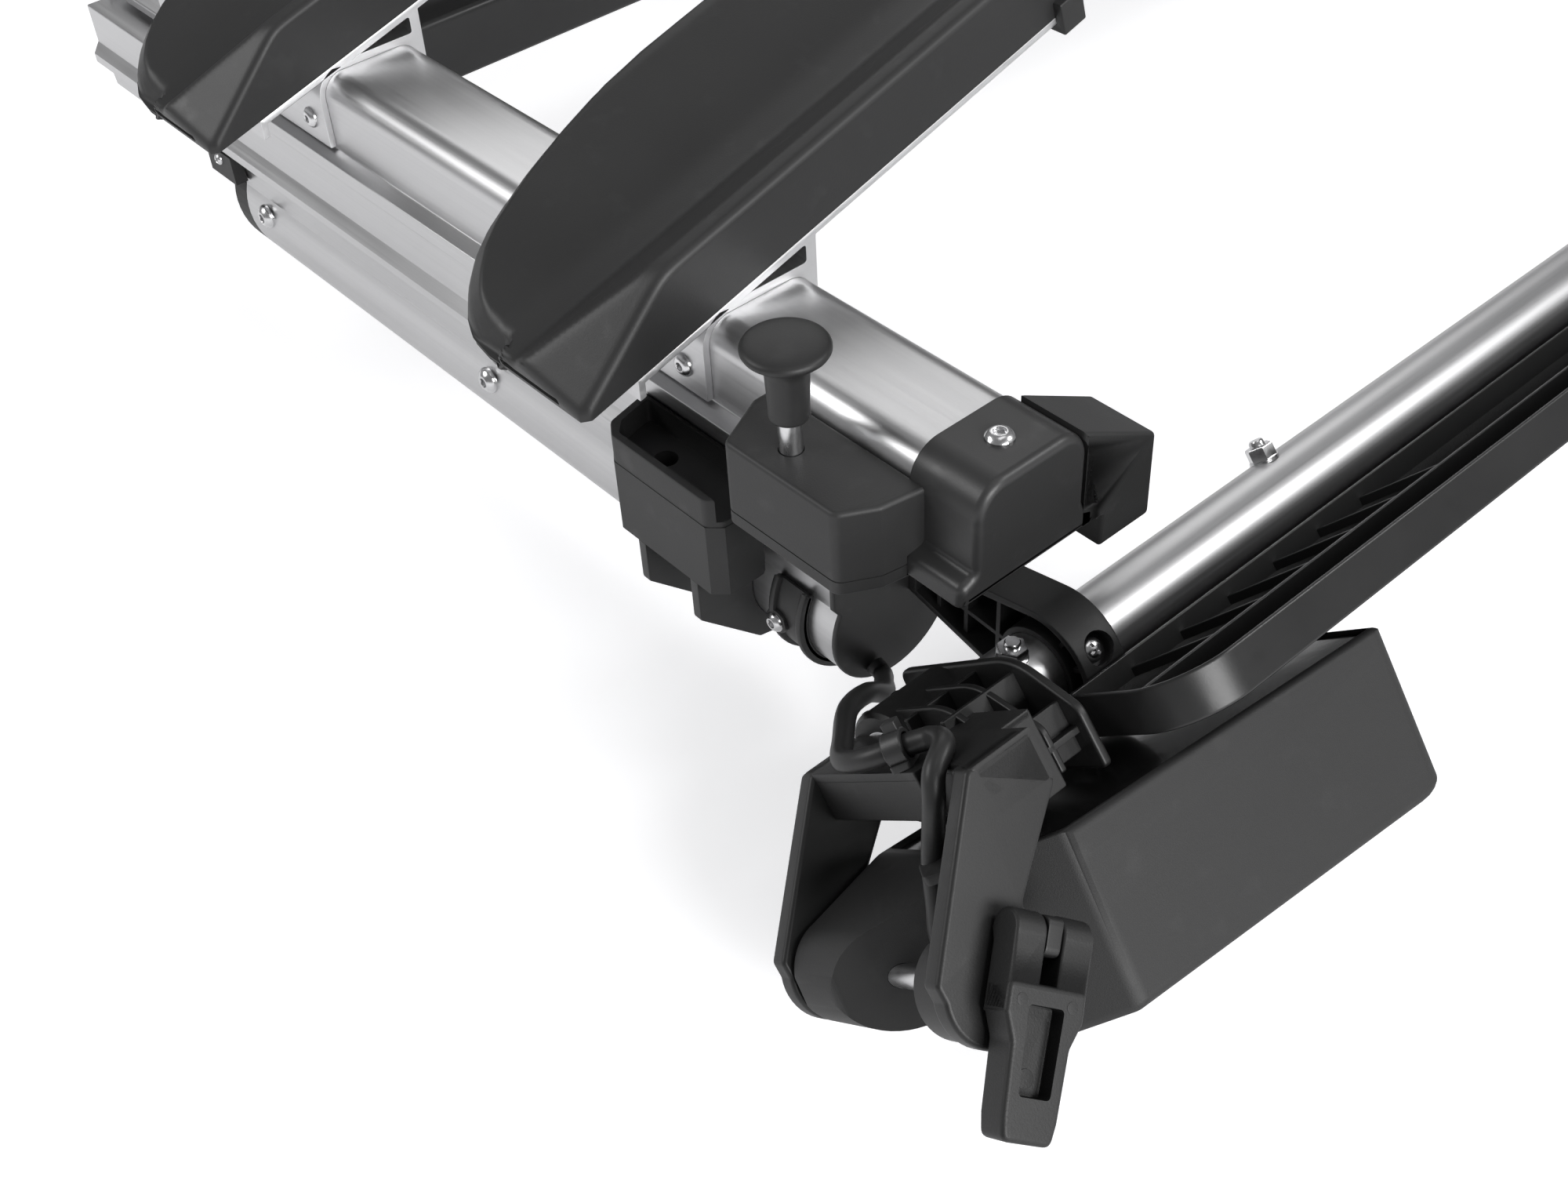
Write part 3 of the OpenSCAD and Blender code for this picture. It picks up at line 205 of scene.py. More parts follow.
# Each lamp's cable is a soft round lead. It leaves the rail's end cap, passes over the bracket
# through a clip, hangs in a loop under the hinge and goes into the lamp at the pin.
MM = 0.001


def shift(x, y, z):
    return Matrix.Translation((x, y, z))


def spun(degrees, axis):
    return Matrix.Rotation(math.radians(degrees), 4, axis)


LEFT = shift(-500, -700, 150)
SIDES = ("left", "right")
CABLE_D = 7.5
CABLE_PATH = [(-12, 48.7, -131), (-13, 43, -131.5), (-22, 33, -122), (-34, 20, -109), (-48, 14, -95),
              (-65, 5, -84), (-80, -9, -77), (-91, -21, -69), (-90, -31, -61), (-82, -39, -55),
              (-76, -46, -50), (-79, -54, -44), (-88, -59, -46), (-92, -63, -53), (-94, -65, -63),
              (-98, -69, -73), (-102, -75, -83), (-105, -79, -90), (-107, -84, -91), (-108, -89.2, -86.5)]


def smooth_route(points, steps):
    last = len(points) - 1
    line = []
    for i in range(last):
        a, b, c, d = (Vector(points[min(max(k, 0), last)]) for k in (i - 1, i, i + 1, i + 2))
        for n in range(steps):
            t = n / steps
            line.append((2 * b + (c - a) * t + (2 * a - 5 * b + 4 * c - d) * t * t
                         + (3 * b - a - 3 * c + d) * t ** 3) / 2)
    return line + [Vector(points[last])]


def angle_points(centre, radius, start, end, steps):
    turns = [math.radians(start + (end - start) * i / steps) for i in range(steps + 1)]
    return [(centre[0] + radius * math.cos(a), centre[1] + radius * math.sin(a)) for a in turns]


def ring_points(centre, radius, steps=48):
    return angle_points(centre, radius, 0, 360, steps)[:-1]


def signed_area(loop):
    pairs = zip(loop, loop[1:] + loop[:1])
    return sum(a[0] * b[1] - b[0] * a[1] for a, b in pairs) / 2


def inset(loop, distance):
    made = []
    for i, point in enumerate(loop):
        before, after = Vector(loop[i - 1]), Vector(loop[(i + 1) % len(loop)])
        here = Vector(point)
        first, second = (here - before).normalized(), (after - here).normalized()
        one, two = Vector((-first.y, first.x)), Vector((-second.y, second.x))
        spread = max(1 + one.dot(two), 0.35)
        made.append(tuple(here + (one + two) * (distance / spread)))
    return made


def rounded(corners, radii, steps=5):
    count = len(corners)
    if not isinstance(radii, (list, tuple)):
        radii = [radii] * count
    loop = []
    for i, (corner, radius) in enumerate(zip(corners, radii)):
        here = Vector(corner)
        back = Vector(corners[i - 1]) - here
        ahead = Vector(corners[(i + 1) % count]) - here
        half = back.angle(ahead) / 2
        if radius <= 0 or half > math.radians(85):
            loop.append(tuple(here))
            continue
        cut = min(radius / math.tan(half), back.length * 0.48, ahead.length * 0.48)
        start, end = here + back.normalized() * cut, here + ahead.normalized() * cut
        for n in range(steps + 1):
            t = n / steps
            loop.append(tuple(start * (1 - t) ** 2 + here * 2 * t * (1 - t) + end * t * t))
    return loop


def both_sides(loop):
    """A section from its right half, which is mirrored for the left."""
    return loop + [(-x, z) for x, z in reversed(loop)]


def oblong(x0, y0, x1, y1):
    return [(x0, y0), (x1, y0), (x1, y1), (x0, y1)]


def plain_mesh(piece):
    """The piece's mesh with its modifiers worked in."""
    bpy.context.view_layer.update()
    return bpy.data.meshes.new_from_object(piece.evaluated_get(bpy.context.evaluated_depsgraph_get()))


def lists_of(mesh):
    return [v.co / MM for v in mesh.vertices], [tuple(p.vertices) for p in mesh.polygons]


class Stock:
    """Stock for one piece of the carrier, in millimetres, gathered from slabs, turnings and runs."""

    def __init__(self, place=LEFT):
        self.place = place
        self.points = []
        self.faces = []

    def add(self, points, faces, place=Matrix()):
        matrix = self.place @ place
        start = len(self.points)
        self.points += [matrix @ Vector(p) for p in points]
        flip = matrix.determinant() < 0
        self.faces += [tuple(start + k for k in (reversed(f) if flip else f)) for f in faces]
        return self

    def slab(self, outline, low, high, place=Matrix(), edge=0.6, holes=(), steps=2):
        low_edge, high_edge = edge if isinstance(edge, tuple) else (edge, edge)
        levels = []
        for n in range(steps + 1):
            a = math.radians(90 * n / steps)
            levels.append((low_edge * (1 - math.sin(a)), low + low_edge * (1 - math.cos(a))))
        for n in range(steps + 1):
            a = math.radians(90 * n / steps)
            levels.append((high_edge * (1 - math.cos(a)), high - high_edge * (1 - math.sin(a))))
        points, faces, caps = [], [], []
        for k, loop in enumerate([outline, *holes]):
            loop = [tuple(p) for p in loop]
            if (signed_area(loop) > 0) != (k == 0):
                loop = loop[::-1]
            count = len(loop)
            first = len(points)
            for distance, z in levels:
                points += [(x, y, z) for x, y in inset(loop, distance)]
            for r in range(len(levels) - 1):
                a, b = first + r * count, first + (r + 1) * count
                faces += [(a + i, a + (i + 1) % count, b + (i + 1) % count, b + i) for i in range(count)]
            caps.append((first, count))
        for level, up in ((0, False), (len(levels) - 1, True)):
            order = [first + level * count + i for first, count in caps for i in range(count)]
            flat = [[Vector(points[first + level * count + i]).to_2d().to_3d() for i in range(count)]
                    for first, count in caps]
            for tri in tessellate_polygon(flat):
                chosen = [order[i] for i in tri]
                area = signed_area([points[i][:2] for i in chosen])
                if abs(area) > 1e-9:
                    faces.append(tuple(chosen if (area > 0) == up else reversed(chosen)))
        return self.add(points, faces, place)

    def turned(self, profile, place=Matrix(), sides=48):
        points, faces, rows = [], [], []
        for radius, z, *flats in profile:
            rows.append((len(points), 1 if radius == 0 else sides))
            if radius == 0:
                points.append((0, 0, z))
                continue
            for n in range(sides):
                a = 360 * n / sides
                reach = radius / math.cos(math.radians(a % 60 - 30)) if flats else radius
                points.append((reach * math.cos(math.radians(a)), reach * math.sin(math.radians(a)), z))
        for (a, many), (b, much) in zip(rows, rows[1:]):
            for i in range(sides):
                j = (i + 1) % sides
                quad = [a + i if many > 1 else a, a + j if many > 1 else a,
                        b + j if much > 1 else b, b + i if much > 1 else b]
                face = list(dict.fromkeys(quad))
                if len(face) > 2:
                    faces.append(tuple(face))
        return self.add(points, faces, place)

    def run(self, line, radius, place=Matrix(), sides=16):
        points, faces = [], []
        side = Vector((0.2, 1, 0.3))
        last = len(line) - 1
        for i, point in enumerate(line):
            way = (line[min(i + 1, last)] - line[max(i - 1, 0)]).normalized()
            side = (side - way * side.dot(way)).normalized()
            other = way.cross(side)
            width = radius if isinstance(radius, (int, float)) else radius[i]
            points += [point + side * x + other * y for x, y in ring_points((0, 0), width, sides)]
        for i in range(last):
            a, b = i * sides, (i + 1) * sides
            faces += [(a + j, a + (j + 1) % sides, b + (j + 1) % sides, b + j) for j in range(sides)]
        faces.append(tuple(reversed(range(sides))))
        faces.append(tuple(last * sides + j for j in range(sides)))
        return self.add(points, faces, place)

    def mesh(self, name, side="left"):
        sign = -1 if side == "right" else 1
        mesh = bpy.data.meshes.new(name)
        faces = self.faces if sign > 0 else [tuple(reversed(f)) for f in self.faces]
        mesh.from_pydata([(p.x * MM * sign, p.y * MM, p.z * MM) for p in self.points], [], faces)
        return mesh

    def carved(self, operation, other):
        block = linked("block", self.mesh("block"))
        tool = linked("tool", other.mesh("tool"))
        shape = block.modifiers.new("shape", "BOOLEAN")
        shape.operation = operation
        shape.solver = "EXACT"
        shape.object = tool
        shape.use_self = True
        result = plain_mesh(block)
        self.points, self.faces = lists_of(result)
        bpy.data.objects.remove(block)
        bpy.data.objects.remove(tool)
        return self

    def less(self, other):
        return self.carved("DIFFERENCE", other)

    def common(self, other):
        return self.carved("INTERSECT", other)

    def bored(self, radius, low, high, place=Matrix(), sides=32):
        drill = oblong(0, low, radius, high)
        return self.less(Stock(self.place).turned(drill, place, sides))

    def rod(self, radius, low, high, bevel, place=Matrix(), sides=32):
        """A round pin with a small bevel at both ends."""
        small = radius - bevel
        half = [(0, low), (small, low), (radius, low + bevel)]
        return self.turned(half + [(radius, high - bevel), (small, high), (0, high)], place, sides)


def lengthwise(y):
    return shift(0, y, 0) @ spun(90, "X")


def crosswise(x):
    turned = spun(90, "Z") @ spun(90, "X")
    return shift(x, 0, 0) @ turned


def fitted(name, body, stock, finish, nodes=(), sides=("left",), crease=32):
    """Makes the piece from its stock and hangs it on its body; a second side is its mirror image."""
    shell = bmesh.new()
    for side in sides:
        shell.from_mesh(stock.mesh(name, side))
    bmesh.ops.remove_doubles(shell, verts=shell.verts, dist=1e-6)
    mesh = bpy.data.meshes.new(name)
    shell.to_mesh(mesh)
    shell.free()
    mesh.materials.append(finish)
    mesh.shade_smooth()
    mesh.set_sharp_from_angle(angle=math.radians(crease))
    piece = linked(name, mesh)
    flats = piece.modifiers.new("flats", "WEIGHTED_NORMAL")
    flats.mode = "FACE_AREA_WITH_ANGLE"
    flats.weight = 80
    flats.keep_sharp = True
    piece.data = plain_mesh(piece)
    piece.modifiers.remove(flats)
    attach(piece, body)
    if nodes:
        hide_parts(*nodes)
    return piece


lead = Finish("cable_sheath", Specular_IOR_Level=0.4)
smear = lead.noise(60, 3)
lead_jacket = lead.done(Base_Color=lead.between(smear, grey(0.012), grey(0.028)),
                        Roughness=smear * 0.2 + 0.34, Normal=lead.bump(lead.noise(900), 0.00008, 0.4))
for side in SIDES:
    sign = -1 if side == "right" else 1
    line = smooth_route(CABLE_PATH, 8)
    cable = fitted(side + "_lamp_lead", "frame", Stock().run(line, CABLE_D / 2, sides=18), lead_jacket,
                   (side + "_lamp_cable",), (side,), 60)
    path = [LEFT @ p * MM for p in line]
    path = [(sign * p.x, p.y, p.z) for p in path]

# The fixed rails are long D-shaped extrusions with a T head on top, in satin anodised aluminium.
# They carry the whole carrier and are cut off slanted at the front of their round underside.
RAIL_TOP = -46.3
BELLY = (0, -111)
BELLY_R = 30
RAIL_HALF = 30
BEAD_Z = -72
RAIL_REAR = 52
RAIL_FRONT = 620


def brushed_metal(name, axis, dark, light, dull):
    """Extruded aluminium: fine die lines along one axis, and paler saw marks on its cut ends."""
    finish = Finish(name, Metallic=1.0, Specular_IOR_Level=0.5)
    stretch = [1, 1, 1]
    stretch["XYZ".index(axis)] = 0.008
    lines = finish.noise(700, 3, stretch)
    cloud = finish.noise(9, 4)
    end = finish.facing(axis).step(0.8, 0.95)
    saw = finish.noise(500, 2, (0.15, 1, 1))
    tone = finish.between(lines * 0.55 + cloud * 0.45, grey(dark), grey(light))
    finish.done(Base_Color=finish.between(end * 0.75, tone, grey(0.85)),
                Roughness=lines * 0.16 + cloud * 0.12 + end * saw * 0.2 + dull,
                Normal=finish.bump(lines + end * saw, 0.00003, 0.3))
    return finish.material


def round_belly(radius, steps=34):
    start = math.degrees(math.asin(14 / radius))
    return angle_points(BELLY, radius, start, -180 - start, steps)


rail_metal = brushed_metal("satin_rail", "Y", 0.47, 0.66, 0.2)
side_wall = [(RAIL_HALF, RAIL_TOP), (RAIL_HALF, -92)] + round_belly(BELLY_R) + [
    (-28, BEAD_Z - 6), (-34, BEAD_Z - 5), (-34, BEAD_Z), (-RAIL_HALF, BEAD_Z + 5.5), (-RAIL_HALF, RAIL_TOP)]
head_side = [(17, -37.7), (17, -42.7), (9, -42.7), (9, RAIL_TOP)]
rail_outline = rounded(side_wall + [(-x, z) for x, z in reversed(head_side)] + head_side, 0.9, 3)
rail_hollow = rounded([(-27.5, -48.8), (27.5, -48.8), (27.5, -93)] + round_belly(27.5)
                      + [(-25.5, -80), (-27.5, -76)], 1.5, 3)
fixed_rail = Stock().slab(rail_outline, 0, RAIL_FRONT - RAIL_REAR, lengthwise(RAIL_FRONT), 0.35,
                          [rail_hollow])
slant = [(470, -160), (486, -92), (640, -92), (640, -160)]
fixed_rail.less(Stock().slab(slant, -60, 60, crosswise(0), 0))
head_trim = oblong(-20, RAIL_TOP, 20, -30)
fixed_rail.less(Stock().slab(head_trim, 0, 11, lengthwise(RAIL_REAR + 10), 0))
for side in SIDES:
    fitted(side + "_fixed_rail", "frame", fixed_rail, rail_metal,
           (side + "_lower_rail",), (side,))


def moulded(name, shade, grain, dull, gloss=0.0, coarse=1600):
    """Glass-filled black plastic as moulded: a fine spark-eroded grain, flow marks and rubbed patches."""
    finish = Finish(name, Specular_IOR_Level=0.45, Coat_Roughness=0.2)
    pores = finish.noise(coarse, 2)
    flow = finish.noise(16, 4, (1, 0.6, 1.4))
    rubbed = finish.noise(70, 5).step(0.56, 0.74)
    finish.done(Base_Color=finish.between(flow * 0.6 + rubbed * 0.4, grey(shade * 0.75), grey(shade * 1.35)),
                Roughness=flow * 0.14 - rubbed * 0.06 + pores * 0.08 + dull,
                Coat_Weight=gloss,
                Normal=finish.bump(pores + rubbed * 0.3, grain, 0.5))
    return finish.material


cap_plastic = moulded("satin_cap_plastic", 0.026, 0.00004, 0.3)
block_plastic = moulded("block_plastic", 0.02, 0.00007, 0.4)
cap_lip = [(30.55, -80), (30.55, -92)] + round_belly(30.55) + [(-30.55, -92), (-30.55, -80)]
end_cap = Stock().slab(cap_lip, 0, 1.85, lengthwise(51.9), (0.1, 1), steps=4)
end_cap.slab(rounded(side_wall, 1.5, 3), 0, 1.9, lengthwise(51.9), (0, 1.2))
fitted("fixed_rail_caps", "frame", end_cap, cap_plastic, ("rail_end_caps",), SIDES)


def refinished(node, finish):
    """Gives a CAD piece whose shape is right its real finish."""
    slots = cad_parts[node].data.materials
    slots.clear()
    slots.append(finish)


refinished("rail_front_ends", block_plastic)

# The lock block is bolted to each fixed rail's outer side: a moulded box with a raised rim, whose
# pocket takes the locking pin when the tray carriage is pushed home.
PIN_X = -43
lock_plan = [(-34.25, 154), (-51, 149), (-56, 142), (-56, 89), (-51, 84), (-34.25, 84)]
rim_plan = [(-30.35, 154)] + lock_plan[1:-1] + [(-30.35, 84)]
lock = Stock().slab(rounded(inset(lock_plan[::-1], 1.3), 4), -93, -60, edge=(2.2, 0))
lock.common(Stock().slab(inset(lock_plan[::-1], 0.2), -94, -59, edge=0))
rim = Stock().slab(rounded(rim_plan, [0.5, 4, 4, 4, 4, 0.5]), -60.4, -47.3, edge=(0.6, 1))
rim.add(lock.points, lock.faces, LEFT.inverted())
web = rounded(oblong(-36, 88, -30, 146), 1)
for low, high in ((-93, -80), (-66, -58)):
    rim.slab(web, low, high)
pocket = [(-32.3, 150), (-48, 146), (-53, 141), (-53, 80), (-32.3, 80)]
rim.less(Stock().slab(rounded(pocket, [2, 3, 3, 0, 0]), -57.5, -30, edge=0))
rim.bored(4.7, -95, -50, shift(PIN_X, 127, 0), 48)
fitted("pin_lock_blocks", "frame", rim, block_plastic, ("lock_blocks",), SIDES)

# A black band with two flanges grips each fixed rail behind the lock block, drawn together by a
# small screw in its lug. Two slanted saddle plates under the lock block clasp the rail's belly.
band_start = math.degrees(math.asin(14 / BELLY_R))


def band_loop(radius):
    return (angle_points(BELLY, radius, band_start, -180 - band_start, 40)
            + angle_points(BELLY, 30.02, -180 - band_start, band_start, 40))


BAND_FRONT = 83.5
bands = Stock().slab(band_loop(32.4), 0, 18, lengthwise(BAND_FRONT), 0.3)
for y in (68.5, BAND_FRONT):
    bands.slab(band_loop(34.4), 0, 3, lengthwise(y), 0.9)
bands.slab(ring_points((80, -115), 5.5, 32), -34, -27.5, crosswise(0), (0.8, 0))
saddle_side = ([(-56, -93), (-56, -112), (-28, -139), (-14, -142)]
               + angle_points(BELLY, 30.05, 242.2, 152.2, 16) + [(-26.5, -93)])
saddle_side = rounded(saddle_side, [0, 3, 3, 1] + [0] * 18)
for y in (101.8, 133):
    bands.slab(saddle_side, 0, 4.5, lengthwise(y), 0.6)
fitted("rail_grip_bands", "frame", bands, cap_plastic, ("rail_bands",), SIDES)

# Button-head bolts of zinc-plated steel with hexagon sockets hold the rails' inner parts. They
# repeat along the rail, so one is turned and Geometry Nodes set the rest at their spacing.
steel = Finish("zinc_steel", Metallic=1.0)
plating = steel.noise(220, 4)
zinc_steel = steel.done(Base_Color=steel.between(plating, grey(0.55), grey(0.82)),
                        Roughness=plating * 0.2 + 0.14, Normal=steel.bump(plating, 0.00004, 0.3))


def button_head(stock, width, height, socket, place):
    """A domed head with a hexagon socket, standing on its own Z axis."""
    top = height
    rim = [(0, -0.4), (width / 2, -0.4), (width / 2, height * 0.25), (width * 0.45, height * 0.55),
           (width * 0.37, height * 0.82), (width * 0.29, top), (socket / 2 + 0.35, top)]
    well = [(socket / 2, top - 0.3, 6), (socket / 2, height * 0.4, 6), (0, height * 0.25)]
    return stock.turned(rim + well, place, 48)


def repeated(piece, count, step, finish):
    """Sets copies of a piece at equal steps with Geometry Nodes, and keeps the result as plain mesh."""
    tree = bpy.data.node_groups.new(piece.name + "_row", "GeometryNodeTree")
    faces = tree.interface
    faces.new_socket("Geometry", in_out="INPUT", socket_type="NodeSocketGeometry")
    number = faces.new_socket("Count", in_out="INPUT", socket_type="NodeSocketInt")
    spacing = faces.new_socket("Step", in_out="INPUT", socket_type="NodeSocketVector")
    faces.new_socket("Geometry", in_out="OUTPUT", socket_type="NodeSocketGeometry")
    begin, end = tree.nodes.new("NodeGroupInput"), tree.nodes.new("NodeGroupOutput")
    row = tree.nodes.new("GeometryNodeMeshLine")
    setting = tree.nodes.new("GeometryNodeInstanceOnPoints")
    solid = tree.nodes.new("GeometryNodeRealizeInstances")
    coat = tree.nodes.new("GeometryNodeSetMaterial")
    coat.inputs["Material"].default_value = finish
    for source, target in ((begin.outputs["Count"], row.inputs["Count"]),
                           (begin.outputs["Step"], row.inputs["Offset"]),
                           (row.outputs["Mesh"], setting.inputs["Points"]),
                           (begin.outputs["Geometry"], setting.inputs["Instance"]),
                           (setting.outputs["Instances"], solid.inputs["Geometry"]),
                           (solid.outputs["Geometry"], coat.inputs["Geometry"]),
                           (coat.outputs["Geometry"], end.inputs[0])):
        tree.links.new(source, target)
    maker = piece.modifiers.new("row", "NODES")
    maker.node_group = tree
    maker[number.identifier] = count
    maker[spacing.identifier] = [v * MM for v in step]
    made = plain_mesh(piece)
    piece.modifiers.remove(maker)
    piece.data = made
    return piece


def in_row(name, body, stock, count, step, finish, nodes=(), sides=("left",), crease=32):
    """A row of equal pieces, made plain before it is hung on its body."""
    single = linked(name + "_one", stock.mesh(name + "_one"))
    row = repeated(single, count, step, finish)
    whole = Stock(Matrix())
    whole.add(*lists_of(row.data))
    bpy.data.objects.remove(single)
    return fitted(name, body, whole, finish, nodes, sides, crease)


outwards = spun(-90, "Y")
rail_bolt = button_head(Stock(), 12, 3.6, 4, shift(-29.4, 273, -105) @ outwards)
in_row("fixed_rail_bolts", "frame", rail_bolt, 2, (0, 190, 0), zinc_steel,
       ("rail_bolts",), SIDES)
small_screws = Stock()
button_head(small_screws, 6, 1.8, 2.5, shift(-34, 492, -83) @ outwards)
button_head(small_screws, 8.6, 2.4, 3, shift(-33.9, 80, -115) @ outwards)
fitted("band_and_front_screws", "frame", small_screws, zinc_steel, (), SIDES)

# The frame's cross members are welded square tubes of steel, powder coated black. A third tube
# runs forward from them to the coupling, and is hidden under the trays from behind.
CENTRE = shift(0, -700, 150)
coat = Finish("black_powder_coat", Specular_IOR_Level=0.5)
peel = coat.noise(420, 2)
dust = coat.noise(35, 5)
powder_coat = coat.done(Base_Color=coat.between(dust, grey(0.014), grey(0.03)),
                        Roughness=dust * 0.2 + 0.3, Normal=coat.bump(peel, 0.00012, 0.4))


def square_tube(stock, low, high, wall, start, end, along, radius=4):
    """A tube with rounded corners between two corners of its section."""
    corners = [(low[0], low[1]), (high[0], low[1]), (high[0], high[1]), (low[0], high[1])]
    inner = [(low[0] + wall, low[1] + wall), (high[0] - wall, low[1] + wall),
             (high[0] - wall, high[1] - wall), (low[0] + wall, high[1] - wall)]
    place = crosswise(start) if along == "X" else lengthwise(end)
    return stock.slab(rounded(corners, radius), 0, end - start, place, 0.3, [rounded(inner, radius - 2)])


def weld_ring(stock, low, high, x, radius=2.2):
    """A stacked weld bead round a tube's end."""
    corners = rounded([(low[0], low[1]), (high[0], low[1]), (high[0], high[1]), (low[0], high[1])], 4, 6)
    line = []
    for a, b in zip(corners, corners[1:] + corners[:1]):
        count = max(1, round((Vector(b) - Vector(a)).length / 1.2))
        line += [Vector((x, *(Vector(a).lerp(Vector(b), n / count)))) for n in range(count)]
    sizes = [radius * (1 + 0.16 * math.sin(n * 1.9)) for n in range(len(line) + 1)]
    return stock.run(line + [line[0]], sizes, sides=8)


for name, y0, y1 in (("front", 578, 618), ("middle", 480, 520)):
    tube = square_tube(Stock(CENTRE), (y0, -88), (y1, -52), 2, -470, 470, "X")
    for x in (-468.2, 468.2):
        weld_ring(tube, (y0 + 0.5, -87.5), (y1 - 0.5, -52.5), x, 1.7)
    fitted(name + "_cross_tube", "frame", tube, powder_coat, (name + "_crossbeam",))
spine = square_tube(Stock(Matrix()), (-40, 12), (40, 62), 4, -226, -60, "Y", 6)
fitted("coupling_tube", "frame", spine, powder_coat, ("coupling_spine",))

# The coupling is cast iron under black paint: a socket for the ball, a jaw that clamps it, and a
# long lever between two ears that presses the jaw home.
cast = Finish("cast_coupling", Specular_IOR_Level=0.5)
sand = cast.noise(260, 4)
rub = cast.noise(30, 5).step(0.6, 0.75)
cast_black = cast.done(Base_Color=cast.between(rub, grey(0.018), grey(0.06)), Roughness=sand * 0.2 + 0.42,
                       Normal=cast.bump(sand, 0.0005, 0.5))
jaw_metal = Finish("jaw_steel", Metallic=1.0)
ground = jaw_metal.noise(400, 3, (1, 0.1, 1))
jaw_steel = jaw_metal.done(Base_Color=jaw_metal.between(ground, grey(0.35), grey(0.55)),
                           Roughness=ground * 0.2 + 0.3, Normal=jaw_metal.bump(ground, 0.00005, 0.4))
refinished("coupling_body", cast_black)
refinished("clamping_jaw", jaw_steel)
handle = [(-37, 62), (-26, 51), (30, 60), (124, 44), (124, 56), (34, 76), (-26, 73)]
handle = rounded(handle, [9, 6, 10, 5, 5, 12, 8], 6)
grip = Stock(Matrix()).slab(handle, -13.7, 13.7, crosswise(0), 2.6, steps=4)
grip_hollow = rounded([(0, 64), (30, 68), (100, 57), (100, 54), (30, 63.5)], 3)
for low, high in ((9, 20), (-20, -9)):
    grip.less(Stock(Matrix()).slab(grip_hollow, low, high, crosswise(0), 0))
grip.rod(5, -23, 23, 0.6, shift(0, -26, 62) @ spun(90, "Y"))
fitted("coupling_grip", "coupling_handle", grip, block_plastic, ("coupling_lever",))

# The light bar's tube is polished aluminium. Nuts with washers and stud ends show on its top,
# where the number plate holder and the lamp brackets are bolted through it.
tube_metal = brushed_metal("polished_tube", "X", 0.6, 0.74, 0.26)
BAR_AT = (-15.2, -101)
BAR_HALF = 562
tube_bore = ring_points(BAR_AT, 13, 64)
tube = Stock(CENTRE).slab(ring_points(BAR_AT, 15, 96), -BAR_HALF, BAR_HALF, crosswise(0), 0.3, [tube_bore])
fitted("light_bar_tube", "frame", tube, tube_metal, ("light_tube",))
nut_line = [(0, 14.2), (6, 14.2), (6, 15.4), (4.95, 15.5, 6), (5, 15.9, 6), (5, 20.2, 6), (4.6, 20.9, 6),
            (3.1, 21), (3, 22.6), (2.5, 23.3), (0, 23.4)]
nuts = Stock()
for x, lean in ((-6, 0), (146, -40)):
    nuts.turned(nut_line, shift(x, *BAR_AT) @ spun(lean, "X"), 36)
fitted("light_bar_nuts", "frame", nuts, zinc_steel, ("tube_bolts",), SIDES)

# A moulded clamp holds the light bar under each rail: an arm from the end cap with a ring round
# the tube, hollow and ribbed on its outer side, with a cross-head screw sunk in the ring.
clamp_plan = angle_points(BAR_AT, 26.3, 80, 324, 40) + [(50, -105.3), (50, -87)]
clamp_inner = angle_points(BAR_AT, 23.3, 80, 326, 40) + [(46, -103.3), (46, -90.5)]
tube_hole = ring_points(BAR_AT, 15.02, 48)
clamp = Stock().slab(clamp_plan, 21.8, 26.8, crosswise(0), (0, 1.2), [tube_hole], 3)
clamp.slab(clamp_plan, 7.2, 21.8, crosswise(0), (0.7, 0), [clamp_inner])
clamp.slab(ring_points(BAR_AT, 17.5, 48), 7.2, 21.8, crosswise(0), (0.4, 0), [tube_hole])
for y in (6, 22, 36):
    top, foot = -80.5 - y * 0.22, -117 + y * 0.25
    clamp.slab(oblong(y - 1, foot, y + 1, top), 9.5, 21.8, crosswise(0), 0.2)
clamp.slab([(3, -101), (46, -98), (46, -96), (3, -99)], 9.5, 21.8, crosswise(0), 0.2)
for angle in (118, 150, 182, 214):
    ray = Vector((math.cos(math.radians(angle)), math.sin(math.radians(angle))))
    across = Vector((-ray.y, ray.x)) * 0.9
    base = Vector(BAR_AT)
    clamp.slab([tuple(base + ray * r + across * s) for r, s in ((17, -1), (24, -1), (24, 1), (17, 1))],
               9.5, 21.8, crosswise(0), 0.2)
sunk = shift(17.4, *BAR_AT) @ spun(48, "X")
clamp.less(Stock().turned([(0, 20.6), (6.2, 20.6), (6.6, 30), (0, 30)], sunk, 40))
clamp.turned([(6.15, 20.4), (7.2, 20.4), (7.2, 23.6), (6.2, 23.6), (6.15, 20.4)], sunk, 40)
clamp.turned(oblong(0, 19.4, 7.2, 21), sunk, 40)
fitted("light_bar_clamps", "frame", clamp, block_plastic, ("bar_clamps",), SIDES)
head_line = [(0, 20.9), (4.8, 20.9), (4.7, 22), (3.9, 23.2), (2.5, 23.9), (0, 24.1)]
cross_head = Stock().turned(head_line, sunk, 40)
cross_cut = rounded(oblong(-2.7, -0.6, 2.7, 0.6), 0.3)
for angle in (20, 110):
    cross_head.less(Stock().slab(cross_cut, 22.4, 26, sunk @ spun(angle, "Z"), 0))
fitted("clamp_cross_screws", "frame", cross_head, zinc_steel, ("clamp_screws",), SIDES)

# The number plate holder is one long moulding that hangs under the light bar: a flat face with a
# deep wall round it, big rounded corners, and thin ribs inside that run slantwise.
BAR = shift(0, -15.2, -101) @ spun(140, "X")
BAR_MID = CENTRE @ BAR
tub_gloss = moulded("plate_holder_plastic", 0.012, 0.00003, 0.26)


